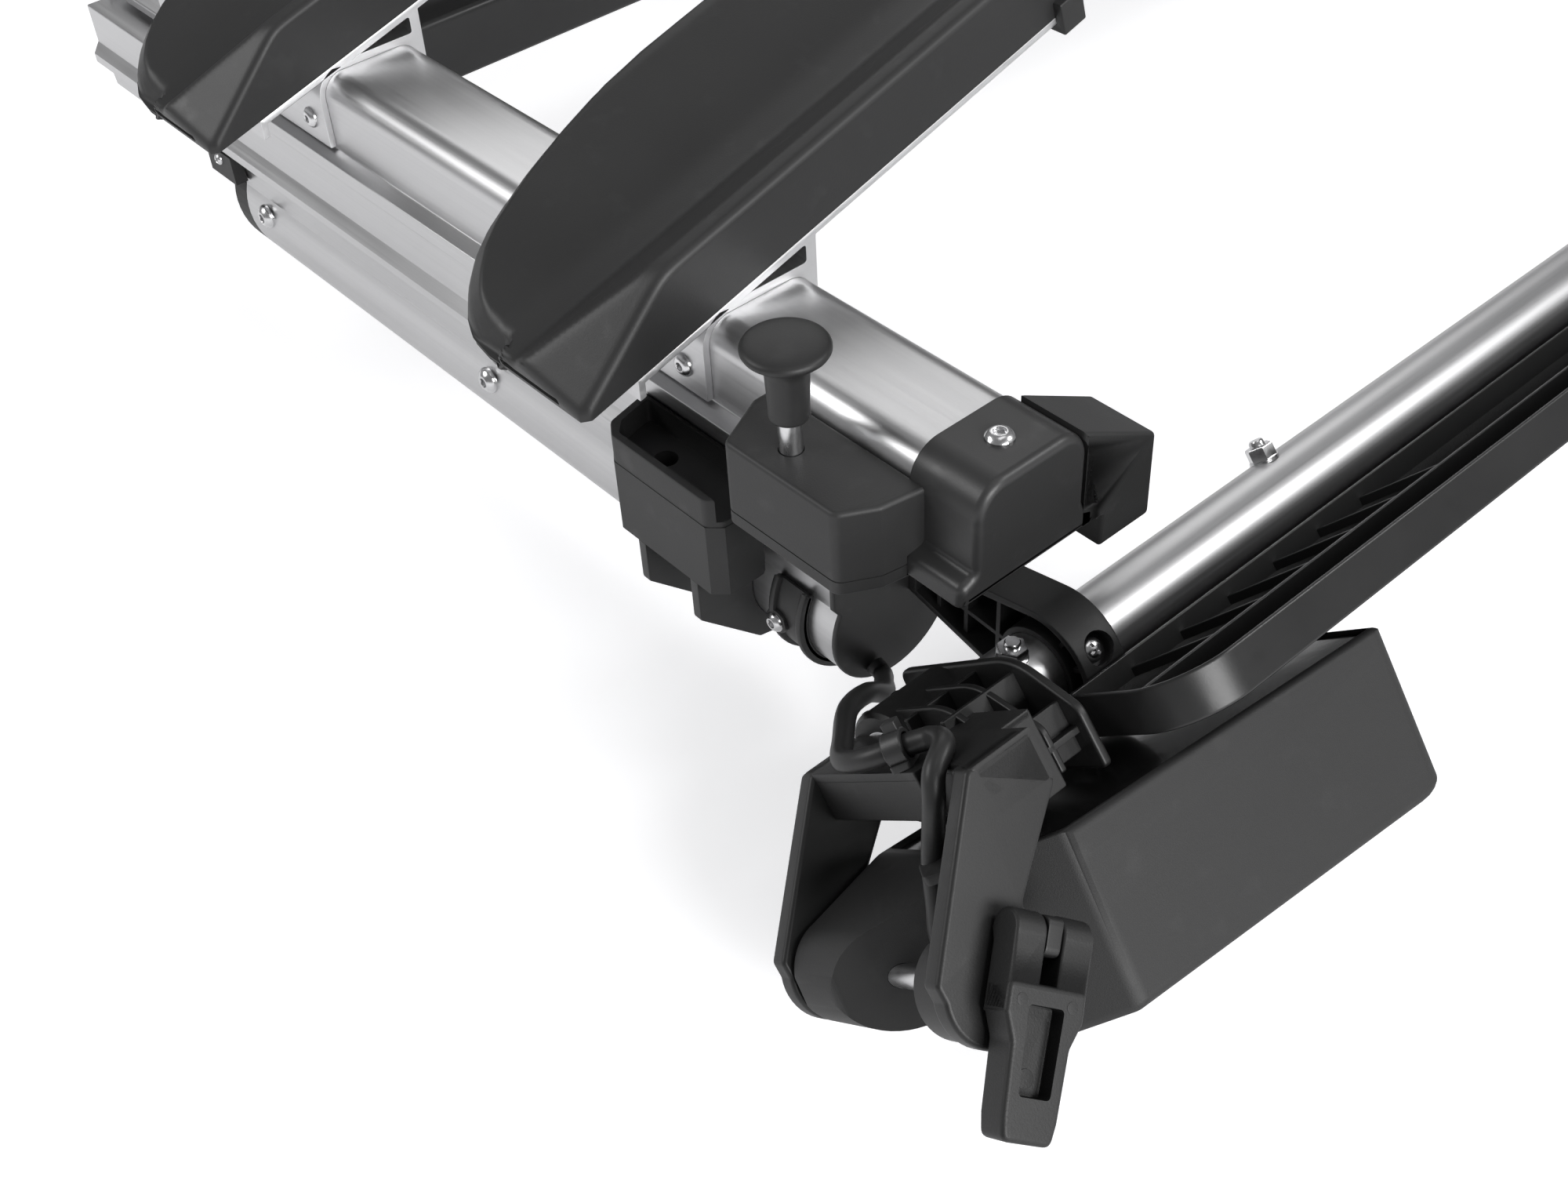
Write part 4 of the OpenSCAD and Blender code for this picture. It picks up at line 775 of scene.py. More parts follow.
def tub_outline(grow):
    x, top, low, radius = 517 + grow, 101 + grow, -16 - grow, 26 + grow
    return (angle_points((x - radius, top - radius), radius, 0, 90, 14)
            + angle_points((-x + radius, top - radius), radius, 90, 180, 14) + [(-x, low), (x, low)])


tub = Stock(BAR_MID).slab(tub_outline(0), 0, 16, edge=(0.8, 1.4), holes=[tub_outline(-2.5)])
tub.slab(tub_outline(-2.4), 13.5, 15.9, edge=0.3)
for v in (29, 67):
    tub.slab(oblong(-515, v, 515, v + 2), 5, 14, edge=0.4)
acrossU = spun(90, "Y")
tub.bored(15.05, -600, 600, acrossU, 64)
for x in (-483, 483):
    tub.bored(26.8, -13, 13, shift(x, 0, 0) @ acrossU, 64)
fitted("plate_tub", "frame", tub, tub_gloss, ("plate_holder",))
slant_rib = [(-478, 31), (-476, 31), (-446, 66), (-448, 66)]
tub_rib = Stock(BAR_MID).slab(slant_rib, 10, 13.8, edge=0.3)
in_row("plate_tub_ribs", "frame", tub_rib, 6, (26, 0, 0), tub_gloss)

# A lamp bracket sits on each end of the light bar. It is one moulding: a hub round the tube, a
# hollow beam with ribs, curved flanges that stiffen the hub, and two arms with the lamp's pin.
BRACKET = LEFT @ BAR
bracket_plastic = moulded("bracket_plastic", 0.008, 0.00005, 0.36)
PIN = (-113, 45)
arm_plan = rounded([(-88, -14), (-62, -14), (-62, 5), (-91, 29)] + angle_points(PIN, 18, 26.6, 200, 24)
                   + [(-130, 33)], 3, 4)


def beside(u):
    """A place for a plate in the v and w plane, with its thickness along u."""
    return shift(u, 0, 0) @ Matrix(((0, 0, 1, 0), (1, 0, 0, 0), (0, 1, 0, 0), (0, 0, 0, 1)))


def along_v(v):
    """A place for a plate in the u and w plane, with its thickness along v, downwards from v."""
    return shift(0, v, 0) @ spun(90, "X")


bracket = Stock(BRACKET)
beam_plan = rounded([(-88, -14), (-62, -14), (-62, 86.6), (-88, 86.6), (-88, 77), (-84, 77), (-84, 57),
                     (-88, 57)], [3, 0, 0, 3, 1, 1, 1, 1])
wells = [oblong(-84, -6, -66, 20), oblong(-84, 23, -66, 50), oblong(-80, 53, -66, 78)]
bracket.slab(beam_plan, -14, -10.5, edge=(1, 0.4))
bracket.slab(beam_plan, -11, 4, edge=(0, 0.9), holes=[rounded(w, 1.5, 3) for w in wells])
bracket.slab([(-84, 36), (-66, 44), (-66, 46), (-84, 38)], -11, 1, edge=0.3)
for v in (-6, 86.6):
    bracket.slab(arm_plan, 0, 8, along_v(v), 1.6, steps=3)
bracket.turned([(15.02, -62), (20.5, -62), (22, -60.5), (22, -27), (21, -26), (15.02, -26), (15.02, -62)],
               acrossU, 64)
flange = rounded([(-24, -22), (44, -22), (66, -2), (66, 20), (-24, 20)], [5, 26, 8, 2, 5], 8)
low_flange = rounded([(-15, -20), (38, -20), (62, -2), (62, 14), (-15, 14)], [4, 24, 6, 1, 4], 8)
tube_ring = ring_points((0, 0), 15.02, 48)
bracket.slab(flange, 0, 3.6, beside(-29.8), 1.1, [tube_ring], 3)
bracket.slab(low_flange, 0, 2.6, beside(-43), 0.7, [tube_ring], 3)
bracket.slab(low_flange, 0, 2.6, beside(-57), 0.7, [tube_ring], 3)
for v in (20.5, 40.5, 56):
    rib_low = -19 + max(0, (v - 38)) * 0.75
    bracket.slab(rounded(oblong(-62, rib_low, -28, 13), 0.8), 0, 2.2, along_v(v + 2.2), 0.4)
bracket.slab(rounded(oblong(-66, 26, -28, 62), 1), 4, 6.5, edge=0.5)
bracket.slab(rounded(oblong(-64, -14, -50, 72.6), 1), -13.8, -11, edge=0.5)
bracket.slab(rounded(oblong(-63, -13, -60, 72.6), 0.8), -13.5, 14, edge=(0.4, 0.8))
bracket.slab(rounded(oblong(-63, 69.6, -50, 72.6), 0.8), -13.5, 14, edge=(0.4, 0.8))
boss = [(4.1, -0.3), (4.1, 0), (15.5, 0), (17, 1.5), (17, 13), (4.1, 13), (4.1, -0.3)]
bracket.turned(boss, shift(PIN[0], 66.6, PIN[1]) @ spun(-90, "X"), 48)
LATCH = shift(-95, 93.6, 38) @ spun(-43, "Y")
lug = Stock(BRACKET @ LATCH).slab(rounded(oblong(-8, -6, 6, 6), [1, 3, 3, 1], 6), 0, 5.4,
                                  beside(-2.7), 0.6)
bracket.add(lug.points, lug.faces, BRACKET.inverted())
hook = rounded([(-88, 56), (-86, 78), (-101, 78), (-108, 68), (-101, 56)], [1, 1, 3, 3, 3])
bracket.slab(hook, 11, 14.5, edge=0.8)
for side in SIDES:
    fitted("lamp_brackets_" + side, "frame", bracket, bracket_plastic,
           (side + "_lamp_bracket",), (side,))
pins = Stock(BRACKET).rod(4, -14.6, 86.6, 0.7, shift(PIN[0], 0, PIN[1]) @ spun(-90, "X"))
fitted("lamp_hinge_pins", "frame", pins, zinc_steel, ("lamp_pins",), SIDES)
clip_place = shift(-83, 47, -20) @ spun(53, "Z")
clip_ring = [(4.4, -3.5), (5.6, -3.5), (6, -3.1), (6, 3.1), (5.6, 3.5), (4.4, 3.5), (4.4, -3.5)]
clip = Stock(BRACKET).turned(clip_ring, clip_place @ acrossU, 32)
clip.slab(rounded(oblong(-3.5, -5.9, 3.5, 5.9), 1), 3.5, 6, clip_place, 0.4)
clip.bored(4.35, -8, 8, clip_place @ acrossU)
clip.slab(rounded(oblong(-2, -4, 3, 1), 0.6), -9, -4.6, clip_place, 0.4)
fitted("lead_clips", "frame", clip, cap_plastic, ("cable_clips",), SIDES)

# The sliding rails are extruded aluminium channels with rounded top corners and a lip along each
# lower edge. Their open underside runs on the fixed rails' T heads.
upper_side = ([(12, -46), (31.5, -46), (31.5, -38.5), (24.75, -36)]
              + angle_points((14.25, -12.5), 10.5, 0, 90, 14))
channel = both_sides(upper_side)
inside = ([(-12, -43), (-21.75, -43)] + angle_points((-14.25, -12.5), 7.5, 180, 90, 12)
          + angle_points((14.25, -12.5), 7.5, 90, 0, 12) + [(21.75, -43), (12, -43)])
SLIDE_REAR = -12
SLIDE_FRONT = 536
sliding_rail = Stock().slab(rounded(channel + inside, 0.7, 3), 0, SLIDE_FRONT - SLIDE_REAR,
                            lengthwise(SLIDE_FRONT), 0.3)
for side in SIDES:
    fitted(side + "_sliding_rail", "carriage", sliding_rail, rail_metal,
           (side + "_upper_rail",), (side,))

# Black moulded caps close the sliding rails' rear ends, held by a button-head screw on top. Their
# rear face is flat and turns over a broad soft edge into the top.
cap_side = [(32.75, -46), (32.75, -37.3), (26, -34.7)] + angle_points((13, -13), 13, 0, 90, 14)
cap_plan = rounded(both_sides(cap_side), [1.6, 4.5, 3] + [0] * 30 + [3, 4.5, 1.6], 5)
rail_side = [(31.6, -49), (31.6, -38.5), (24.85, -36)] + angle_points((14.25, -12.5), 10.6, 0, 90, 12)
CAP_FRONT = 15.4
cap = Stock().slab(cap_plan, 0, 31.4, lengthwise(CAP_FRONT), (0.5, 3.4), steps=6)
cap.less(Stock().slab(both_sides(rail_side), 0, 27.6, lengthwise(15.6), 0))
fitted("sliding_rail_caps", "carriage", cap, cap_plastic, ("upper_end_caps",), SIDES, 40)
cap_screw = button_head(Stock(), 10.5, 2.5, 4, Matrix())
fitted("cap_top_screws", "carriage", cap_screw, zinc_steel, ("cap_screws",), SIDES)

# A black box with a sloping roof is clipped to each cap's inner side. It reaches down beside the
# fixed rail, is hollow underneath, and is stepped where it passes the cap's lip.
wedge_side = rounded([(24, -3), (26, -4), (61.5, -23.5), (62, -60), (36, -60), (36, -46), (24, -46)],
                     [0, 0, 3, 2.4, 1, 0.4, 0])
wedge = Stock().slab(wedge_side, 0, 29.4, lengthwise(13.4), (0.8, 1.6), steps=4)
wedge.less(Stock().slab([(39, -62), (39, -14), (59, -25.5), (59.5, -62)], 0, 24.4, lengthwise(10.9), 0))
wedge.less(Stock().slab(both_sides(cap_side), 0, 31.4, lengthwise(CAP_FRONT), 0))
fitted("wedge_covers", "carriage", wedge, block_plastic, ("wedge_boxes",), SIDES, 20)

# The knob block hangs on the sliding rail's outer side and guides the locking pin. It is a deep
# moulding with soft edges, a seam near its foot and a collar under it round the pin.
knob_plan = rounded([(-24.75, 8), (-42.3, 11), (-56.2, 18.8), (-56.7, 73.1), (-34, 84), (-24.75, 84)],
                    [0, 5, 5, 4, 4, 0])
block = Stock().slab(knob_plan, -47, -11.3, edge=(1.2, 1.8), steps=4)
seam = Stock().slab(inset(knob_plan[::-1], -2), -41.2, -40.6, edge=0)
seam.less(Stock().slab(inset(knob_plan[::-1], 0.35), -45, -36, edge=0))
block.less(seam)
at_pin = shift(PIN_X, 54, 0)
block.turned([(4.6, -57.2), (4.9, -57.2), (5.4, -56.6), (5.4, -46), (4.6, -46), (4.6, -57.2)], at_pin, 32)
block.bored(4.55, -70, 0, at_pin)
outside = [(-31.8, -50), (-24.75 - 6.75, -38.5), (-24.75, -35.5), (-20, -35.5), (-20, -50)]
block.less(Stock().slab(outside, 0, 90, lengthwise(90), 0))
block.less(Stock().slab(both_sides(cap_side), 0, 15.5, lengthwise(15.5), 0))
fitted("knob_guide_blocks", "carriage", block, block_plastic, ("knob_blocks",), SIDES)

# The pull knob is a mushroom of black plastic on a steel locking pin: a wide crowned disc on a
# waisted neck that widens into a foot.
knob_rubber = moulded("pull_knob_plastic", 0.014, 0.00004, 0.38, coarse=1200)
knob_line = [(0, 2.2), (5.9, 2.2), (6.7, 2.6), (7.1, 3.6), (7.1, 8), (7.6, 20.6), (8.3, 23.4),
             (9.6, 25.6), (11.6, 27.1), (13.6, 27.9), (14.6, 28.6), (15.15, 29.6), (15.1, 30.6),
             (14.5, 31.5), (13.3, 32.1), (11.2, 32.55), (9.2, 32.9), (5, 33.4), (0, 33.6)]
pin_line = [(0, -56), (3.4, -56), (4.25, -55.2), (4.25, 22), (0, 22.4)]
for side in SIDES:
    fitted(side + "_mushroom_knob", side + "_knob", Stock().turned(knob_line, at_pin, 80), knob_rubber,
           (side + "_pull_knob",), (side,), 50)
    fitted(side + "_locking_pin", side + "_knob", Stock().turned(pin_line, at_pin, 40), zinc_steel,
           (side + "_lock_pin",), (side,))

# Each tray rests on a sloping plate, which is one aluminium extrusion with the saddle that clasps
# the sliding rail. It is sawn to length, so its ends show a bright edge all along the section.
support_metal = brushed_metal("satin_support", "Y", 0.52, 0.7, 0.24)
TRAY_SLOPE = 16
RUN = math.tan(math.radians(TRAY_SLOPE))


def on_plate(x, drop=0.0):
    return (x, 12.4 - drop + (x - 21) * RUN)


UNDER = 3 / math.cos(math.radians(TRAY_SLOPE))
plate = [on_plate(-57), on_plate(-57, UNDER + 6), on_plate(-54, UNDER + 6), on_plate(-54, UNDER),
         on_plate(-12.5, UNDER)]
saddle_in = (angle_points((-14.25, -12.5), 10.52, 180, 90, 12)
             + angle_points((14.25, -12.5), 10.52, 90, 0, 12))
section = (plate + angle_points((-14.25, -12.5), 13.5, 110, 180, 10) + [(-27.75, -35), (-24.77, -35)]
           + saddle_in + [(24.77, -14), (27.75, -14), on_plate(27.75, UNDER), on_plate(200, UNDER),
                          on_plate(200)])
window = [(22.75, 1.6), on_plate(22.75, UNDER + 0.6), on_plate(-11, UNDER + 0.6), (-4, 1.6)]
support = Stock().slab(rounded(section, 0.5, 3), 0, 100, lengthwise(218.5), 0.25, [rounded(window, 1.2, 3)])
for row, ahead in (("rear", 0), ("front", 260.5)):
    moved = Stock(shift(0, ahead, 0))
    moved.add(support.points, support.faces)
    for side in SIDES:
        node = side + "_" + row
        fitted(node + "_sloping_support", "carriage", moved, support_metal,
               (node + "_tray_support",), (side,))
saddle_screw = button_head(Stock(), 9.5, 2.6, 3, shift(-27.75, 130.5, -24) @ outwards)
in_row("support_side_screws", "carriage", saddle_screw, 2, (0, 260.5, 0), zinc_steel,
       ("support_screws",), SIDES)

# The wheel trays are black mouldings: a trough for the tyre between a tall near rim and a low far
# side. The rims sweep together and drop towards the outer nose. They are hollow underneath.
tray_plastic = moulded("tray_plastic", 0.02, 0.00006, 0.36)
SWEEP = [(-106, 58), (-104, 71), (-99, 81), (-91, 89.5), (-81, 97), (-70, 102.5), (-58, 106.5), (-44, 109.5),
         (-22, 112.5), (4, 115), (204, 115), (214, 105)]
NEAR_H, FAR_H, FLOOR_H = 31, 20, 7
NOSE_LOW, NOSE_RISE, NOSE_LEAN = 3, 0.55, 0.278


def sweep_at(s):
    for (a, low), (b, high) in zip(SWEEP, SWEEP[1:]):
        if s <= b:
            return low + (high - low) * (s - a) / (b - a)
    return SWEEP[-1][1]


def soft_max(values, soft):
    top = max(values)
    return top + soft * math.log(sum(math.exp((v - top) / soft) for v in values))


def tray_height(s, y, edge):
    """Height of the tray's top, from its section, its falling nose and its distance to the edge."""
    near = NEAR_H - (NEAR_H - FLOOR_H) * (y - 8) / 33
    far = FLOOR_H + (FAR_H - FLOOR_H) * (y - 57) / 51
    trough = soft_max([min(near, NEAR_H), FLOOR_H, min(far, FAR_H)], 0.7)
    nose = NOSE_LOW + NOSE_RISE * (s + 106) + NOSE_LEAN * y
    top = -soft_max([-trough, -nose], 1.2)
    skirt = 9.5 * min(max((45 - s) / 100, 0), 1) if y > 50 else 0
    fall = skirt * 1.1 * max(0, 1 - edge / max(skirt, 0.1))
    rim = 3.2
    droop = 0 if edge >= rim else rim - math.sqrt(max(rim ** 2 - (rim - edge) ** 2, 0))
    return max(top - max(fall, 0) - droop, 0.6)


def tray_shell():
    """The tray's top over its plan, and a wall down to the plate all round."""
    fine = [0, 0.25, 0.9, 1.9, 3.2, 4.6, 6.5, 8.5]
    stations = [-106 + f for f in fine] + [-97.5 + n * 2.5 for n in range(1, 42)]
    stations += [5 + n * 10 for n in range(1, 20)] + [214 - f for f in reversed(fine)]
    stations = sorted(set(stations))
    low_side = [(s, max(0, 3 - (s + 106))) for s in stations]
    high_side = [(s, sweep_at(s)) for s in stations]
    loop = low_side + high_side[::-1]
    edges = [(Vector(a), Vector(b)) for a, b in zip(loop, loop[1:] + loop[:1])]
    rows = []
    for (s, low), (s, high) in zip(low_side, high_side):
        shares = fine[:-1]
        wide = high - low - 2 * fine[-2]
        middle = [(s, low + fine[-2] + wide * n / 60) for n in range(1, 60)]
        rows.append([(s, low + f) for f in shares] + middle + [(s, high - f) for f in reversed(shares)])
    across = len(rows[0])
    points = []
    for s, y in (place for row in rows for place in row):
        gaps = []
        for a, b in edges:
            along = b - a
            t = min(max((Vector((s, y)) - a).dot(along) / max(along.length_squared, 1e-9), 0), 1)
            gaps.append((Vector((s, y)) - a - along * t).length)
        points.append((s, y, tray_height(s, y, min(gaps))))
    last = len(rows) - 1
    faces = [(i * across + j, (i + 1) * across + j, (i + 1) * across + j + 1, i * across + j + 1)
             for i in range(last) for j in range(across - 1)]
    border = [(i, 0) for i in range(last + 1)] + [(last, j) for j in range(1, across)]
    border += [(i, across - 1) for i in range(last - 1, -1, -1)] + [(0, j) for j in range(across - 2, 0, -1)]
    ring = [i * across + j for i, j in border]
    for share in (0.5, 1.0):
        below = list(range(len(points), len(points) + len(ring)))
        for i, j in border:
            s, y, z = points[i * across + j]
            points.append((s, y, z * (1 - share)))
        faces += [(ring[k], below[k], below[(k + 1) % len(ring)], ring[(k + 1) % len(ring)])
                  for k in range(len(ring))]
        ring = below
    return points, faces


TRAYS_Y = (118.5, 379)
shell_points, shell_faces = tray_shell()
for row, y in (("rear", TRAYS_Y[0]), ("front", TRAYS_Y[1])):
    SLOPE = shift(21, y, 12.4) @ spun(-TRAY_SLOPE, "Y")
    for side in SIDES:
        node = side + "_" + row + "_tray"
        shell = Stock().add(shell_points, shell_faces, SLOPE)
        skin = linked("skin", shell.mesh("skin"))
        wall = skin.modifiers.new("wall", "SOLIDIFY")
        wall.thickness = 3 * MM
        wall.offset = -1
        thick = plain_mesh(skin)
        bpy.data.objects.remove(skin)
        whole = Stock(Matrix())
        whole.add(*lists_of(thick))
        slot = Stock(LEFT @ SLOPE).slab(rounded(oblong(14, 1.8, 49, 4.8), 1.4, 4), -1, 9,
                                        crosswise(-107), 0)
        whole.less(slot)
        fitted(node[:-5] + "_wheel_trough", "carriage", whole, tray_plastic,
               (node,), (side,), 50)
hook_plan = [(-4, -7), (8, -7), (8, -3.05), (-0.05, -3.05), (-0.05, 0.05), (8, 0.05), (8, 7), (-4, 7)]
clips = Stock()
for y in TRAYS_Y:
    SLOPE = shift(21, y, 12.4) @ spun(-TRAY_SLOPE, "Y")
    clips.slab(rounded(hook_plan, 0.8), 0, 12, SLOPE @ crosswise(136), 0.7)
fitted("tray_hooks", "carriage", clips, cap_plastic, ("tray_clips",), SIDES)

# Two black tubes join the sliding rails. The front one carries the brackets that the bow turns in.
for name, y0, y1 in (("front", 502, 532), ("rear", 238, 263)):
    tube = square_tube(Stock(CENTRE), (y0, -36), (y1, -6), 2, -475.2, 475.2, "X", 3.5)
    fitted(name + "_carriage_tube", "carriage", tube, powder_coat,
           ("carriage_" + name + "_beam",))
BOW_HALF = 250
BOW_Y = 517
hinge_plates = Stock(CENTRE)
for x in (-BOW_HALF, BOW_HALF):
    hinge_plates.slab(rounded(oblong(502, -6, 532, -2), 0.6), -20.3, 20.3, crosswise(x), 0.5)
    for side_x in (-20.3, 15.3):
        ear = ([(502, -6), (532, -6), (532, 20)] + angle_points((BOW_Y, 20), 15, 0, 180, 24)[1:-1]
               + [(502, 20)])
        hinge_plates.slab(ear, 0, 5, crosswise(x + side_x), 0.8, [ring_points((BOW_Y, 20), 5.05, 32)])
fitted("bow_hinge_plates", "carriage", hinge_plates, powder_coat, ("bow_hinge_brackets",))

# The bow is a black steel tube bent into an arch that the bicycles' frames lean on. It folds down
# on two pins, and a pin with a button head shows on each side of its feet.
bow_line = [Vector((-BOW_HALF, BOW_Y, 6)), Vector((-BOW_HALF, BOW_Y, 300)), Vector((-BOW_HALF, BOW_Y, 560))]
bow_line += [Vector((x, BOW_Y, z)) for x, z in angle_points((-170, 620), 80, 180, 90, 20)]
bow_line += [Vector((x, BOW_Y, z)) for x, z in angle_points((170, 620), 80, 90, 0, 20)]
bow_line += [Vector((BOW_HALF, BOW_Y, 560)), Vector((BOW_HALF, BOW_Y, 300)), Vector((BOW_HALF, BOW_Y, 6))]
arch = Stock(CENTRE).run(bow_line, 15, sides=40)
for x in (-BOW_HALF, BOW_HALF):
    arch.rod(5, -20.4, 20.4, 0.8, shift(x, BOW_Y, 20) @ acrossU)
fitted("bicycle_bow", "bow", arch, powder_coat, ("bow",))

# Two holders reach from the bow to the bicycles, one short and one long: a collar on the bow, an
# arm, and a claw whose lower jaw swings open once its star knob is undone. Rubber lines the claws.
pad = Finish("claw_rubber", Specular_IOR_Level=0.3)
crumb = pad.noise(300, 3)
claw_rubber = pad.done(Base_Color=pad.between(crumb, grey(0.012), grey(0.03)), Roughness=crumb * 0.2 + 0.6,
                       Normal=pad.bump(crumb, 0.0002, 0.5))
for size, x, reach in (("short", -90, 190), ("long", 90, 400)):
    HOLD = shift(x, -183 - reach, 850)
    stud_place = shift(0, 41, 0)
    arm = Stock(HOLD)
    collar_bore = ring_points((reach, 0), 15.05, 64)
    arm.slab(ring_points((reach, 0), 23, 64), -20, 20, crosswise(0), 1.2, [collar_bore])
    arm.turned([(0, 26), (8.5, 26), (10, 28), (10, 34), (9.4, 36), (9.4, reach - 30), (10, reach - 28),
                (10, reach - 20), (0, reach - 20)], spun(-90, "X"), 40)
    arm.less(Stock(HOLD).slab(oblong(20, -12, 29.3, 0.15), -12, 12, crosswise(0), 0))
    half_up = angle_points((0, 0), 29, 0.6, 179.4, 40) + angle_points((0, 0), 20.3, 179.4, 0.6, 40)
    arm.slab(half_up, -14, 14, crosswise(0), 1)
    arm.bored(4.2, -12, -2, stud_place)
    for low, high in ((-14, -5), (5, 14)):
        eye = angle_points((-36.6, 0), 7, 90, 360, 24)[:-1] + [(-29.6, 0.15), (-21, 0.15), (-21, 7)]
        arm.slab(eye, low, high, crosswise(0), 0.6)
    arm.rod(4, -13, 13, 0.4, shift(0, -36.6, 0) @ acrossU, 24)
    fitted(size + "_holder_arm", size + "_arm", arm, block_plastic, (size + "_holder",))
    jaw = Stock(HOLD)
    half_down = angle_points((0, 0), 29, 180.6, 359.4, 40) + angle_points((0, 0), 20.3, 359.4, 180.6, 40)
    jaw.slab(half_down, -14, 14, crosswise(0), 1)
    tongue = angle_points((-36.6, 0), 7, 0, 270, 24)[1:] + [(-21, -7), (-21, -0.15), (-29.7, -0.15)]
    jaw.slab(tongue, -4.7, 4.7, crosswise(0), 0.5, [ring_points((-36.6, 0), 4.05, 24)])
    foot = [(21, -16.3), (50, -16.3), (50, -10.3), (28, -10.3), (28, -0.3), (21, -0.3)]
    jaw.slab(rounded(foot, 1.2), -10, 10, crosswise(0), 0.8)
    jaw.bored(3.05, -20, -5, stud_place, 24)
    fitted(size + "_holder_claw", size + "_claw", jaw, block_plastic, (size + "_jaw",))
    for part, start in (("upper", 8), ("lower", 188)):
        pad_loop = (angle_points((0, 0), 20.25, start, start + 164, 36)
                    + angle_points((0, 0), 18.4, start + 164, start, 36))
        lining = Stock(HOLD).slab(pad_loop, -13, 13, crosswise(0), 0.5)
        fitted(size + "_" + part + "_lining", size + ("_arm" if part == "upper" else "_claw"), lining,
               claw_rubber)
    star = [(15 - 1.7 * (1 + math.cos(math.radians(8 * a))), a) for a in range(0, 360, 5)]
    star_loop = [(r * math.cos(math.radians(a)), r * math.sin(math.radians(a))) for r, a in star]
    wheel = Stock(HOLD @ shift(0, 41, -29.6))
    wheel.slab(star_loop, 0, 13, edge=2.4, steps=4)
    wheel.turned([(0, 12), (3, 12), (3, 18.9), (2.5, 19.3), (0, 19.3)], sides=24)
    fitted(size + "_star_knob", size + "_wheel", wheel, knob_rubber, (size + "_knob",))

# Each lamp is a moulded bucket that swings on the bracket's pin, with a smoked clear lens over
# bright reflector cups and a bulb board. Its near wall is broad, flat and finely grained.
IN_LAMP = BRACKET @ shift(PIN[0], 0, PIN[1]) @ spun(-4.4, "Y")
lamp_plastic = moulded("lamp_plastic", 0.015, 0.00011, 0.46, coarse=2200)
lens = Finish("smoked_lens", IOR=1.49, Specular_IOR_Level=0.3)
haze = lens.noise(25, 3)
smoked_lens = lens.done(Base_Color=lens.between(haze, grey(0.01), grey(0.02)), Roughness=haze * 0.06 + 0.08,
                        Normal=lens.bump(lens.noise(90, 2), 0.00015, 0.25))
cup = Finish("reflector_chrome", Metallic=1.0)
cup_marks = cup.noise(200, 2)
chrome = cup.done(Base_Color=grey(0.8), Roughness=cup_marks * 0.1 + 0.06,
                  Normal=cup.bump(cup_marks, 0.0001, 0.3))
LOW, HIGH = -5.7, 78.3
side_shape = rounded(angle_points((0, 0), 18, 90, 262, 24) + [(30, -26), (203, -26), (203, 37), (26, 37)],
                     [0] * 25 + [14, 6, 12, 10], 6)
lamp_shape = rounded([(203, HIGH), (50, HIGH), (-18, 20.3), (-18, LOW), (203, LOW)], [7, 10, 8, 6, 9], 8)
lamp = Stock(IN_LAMP).slab(side_shape, -HIGH, -LOW, along_v(0), 3, steps=4)
lamp.common(Stock(IN_LAMP).slab(lamp_shape, -26, 38, edge=(0.8, 4), steps=4))
hollow = rounded([(200.2, 75.5), (51, 75.5), (34, 64), (34, -3), (200.2, -3)], [5, 4, 4, 3, 5], 6)
lamp.less(Stock(IN_LAMP).slab(hollow, -30, 34, edge=0))
pin_way = spun(90, "X")
lamp.bored(4.1, -100, 20, pin_way)
lamp.bored(18.6, -100, -66.3, pin_way, 64)
mouth = hollow if signed_area(hollow) > 0 else hollow[::-1]
glass = Stock(IN_LAMP).slab(inset(mouth, 0.1), -24, -21, edge=(1.2, 0.3), steps=3)
inside_plate = Stock(IN_LAMP).slab(inset(mouth, 0.4), -4, -2, edge=0.3)
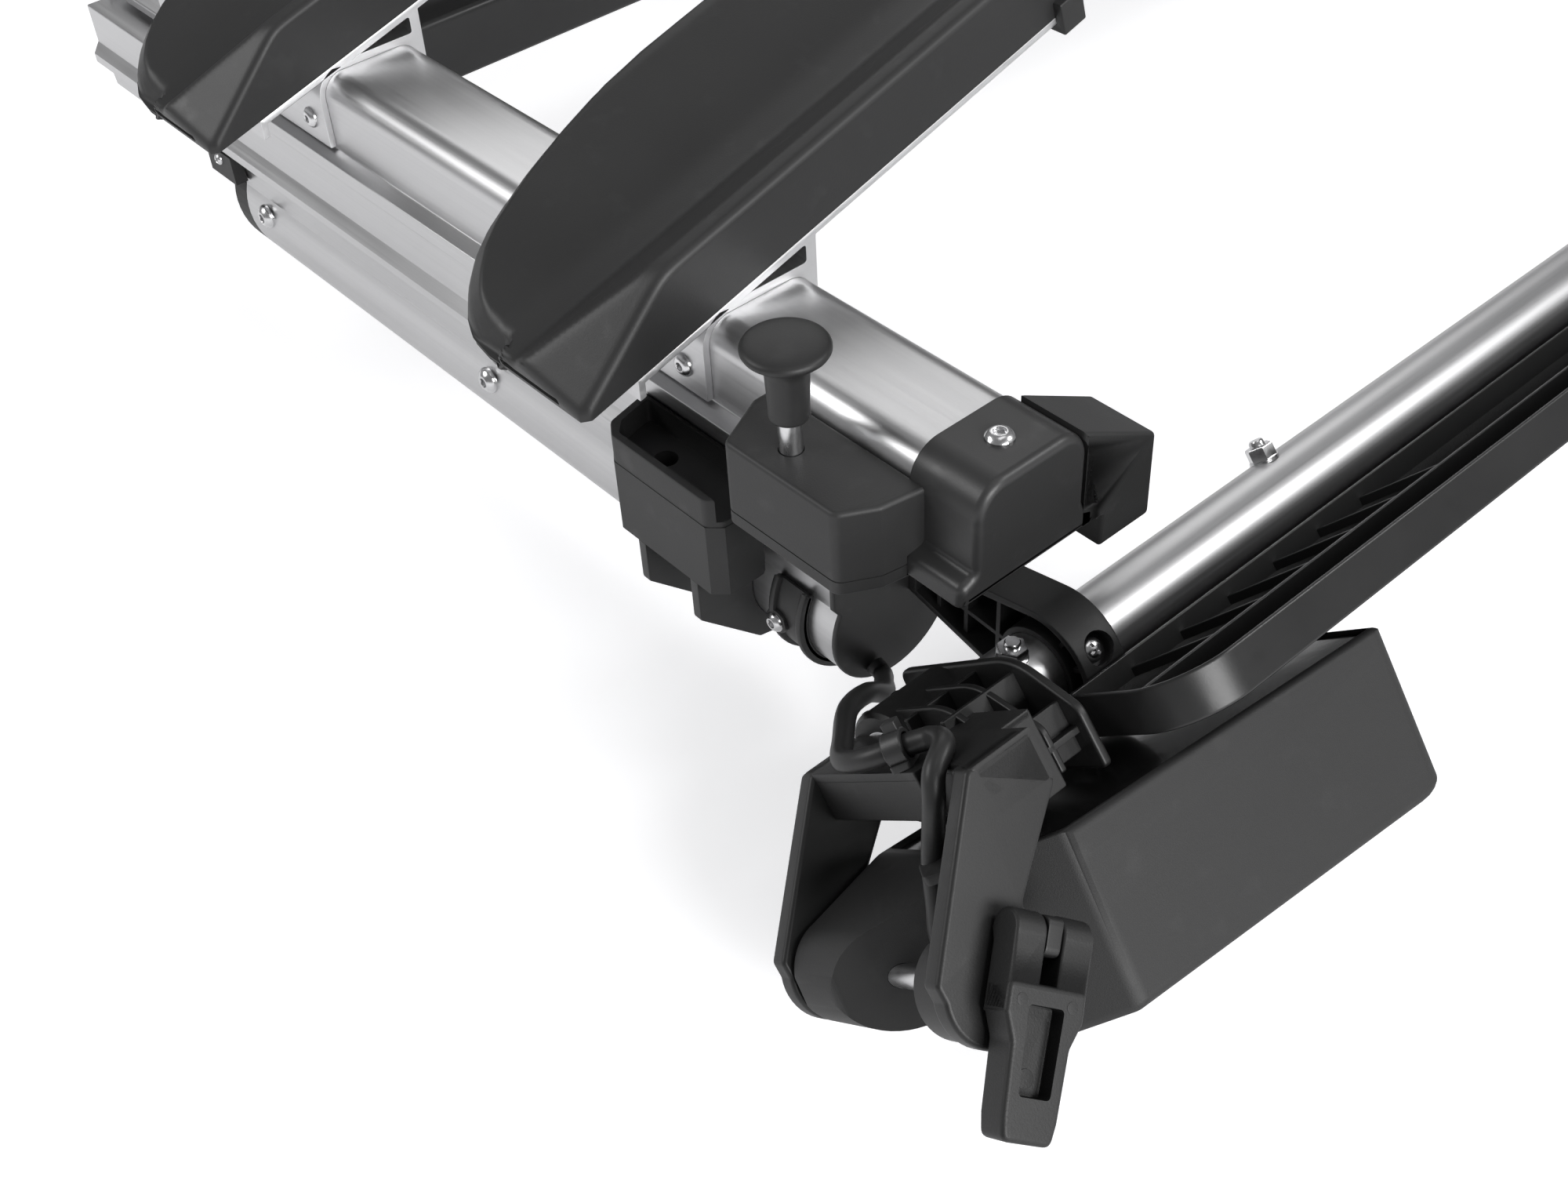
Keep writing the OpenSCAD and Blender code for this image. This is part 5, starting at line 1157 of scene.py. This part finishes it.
for u in (66, 116, 166):
    inside_plate.turned([(9, -2.5), (21, -12), (27, -17.5), (28, -17.5), (28, -2.5), (9, -2.5)],
                        shift(u, 36, 0), 40)
for side in SIDES:
    fitted(side + "_lamp_bucket", side + "_lamp", lamp, lamp_plastic,
           (side + "_lamp_housing",), (side,), 40)
    fitted(side + "_lamp_glass", side + "_lamp", glass, smoked_lens,
           (side + "_lamp_lens",), (side,))
    fitted(side + "_lamp_reflectors", side + "_lamp", inside_plate, chrome, (), (side,))

# The latch lever that holds the lamp folded is a grained moulding with two prongs, a slot between
# them, and a long handle with a trough down its middle. It turns on its own two stubs.
lever_plastic = moulded("latch_plastic", 0.009, 0.00012, 0.4, coarse=1500)
FORK = BRACKET @ LATCH
lever = Stock(FORK)
prong = angle_points((0, 0), 6.5, 180, 360, 20) + [(6.5, 24), (-5, 24), (-5, 4)]
for x in (-8.5, 8.5):
    lever.slab(prong, -5.5, 5.5, crosswise(x), 1.1, steps=3)
handle_plan = rounded([(-14, 14), (14, 14), (14, 23), (10.6, 31), (9.8, 52), (8.6, 59), (-8.6, 59),
                       (-9.8, 52), (-10.6, 31), (-14, 23)], [2, 2, 3, 6, 6, 3, 3, 6, 6, 3], 5)
lever.slab(handle_plan, -7, 5, spun(90, "X"), 1.6, steps=4)
trough = rounded([(-6.4, 20), (6.4, 20), (5.6, 46), (-5.6, 46)], 1.6)
lever.less(Stock(FORK).slab(trough, -9, -1.2, spun(90, "X"), (0, 0.8)))
lever.turned([(0, -1.25), (2.9, -1.25), (2.9, -1.45), (2.6, -1.5), (0, -1.5)],
             shift(0, 0, 41) @ spun(90, "X"), 32)
for x in (-9, 9):
    lever.turned([(0, -6.9), (1.9, -6.9), (1.9, -7.1), (1.6, -7.15), (0, -7.15)],
                 shift(x, 0, 19) @ spun(90, "X"), 24)
lever.rod(3, -13, 13, 0.4, acrossU, 24)
for side in SIDES:
    fitted(side + "_latch_fork", side + "_latch", lever, lever_plastic,
           (side + "_latch_lever",), (side,), 40)
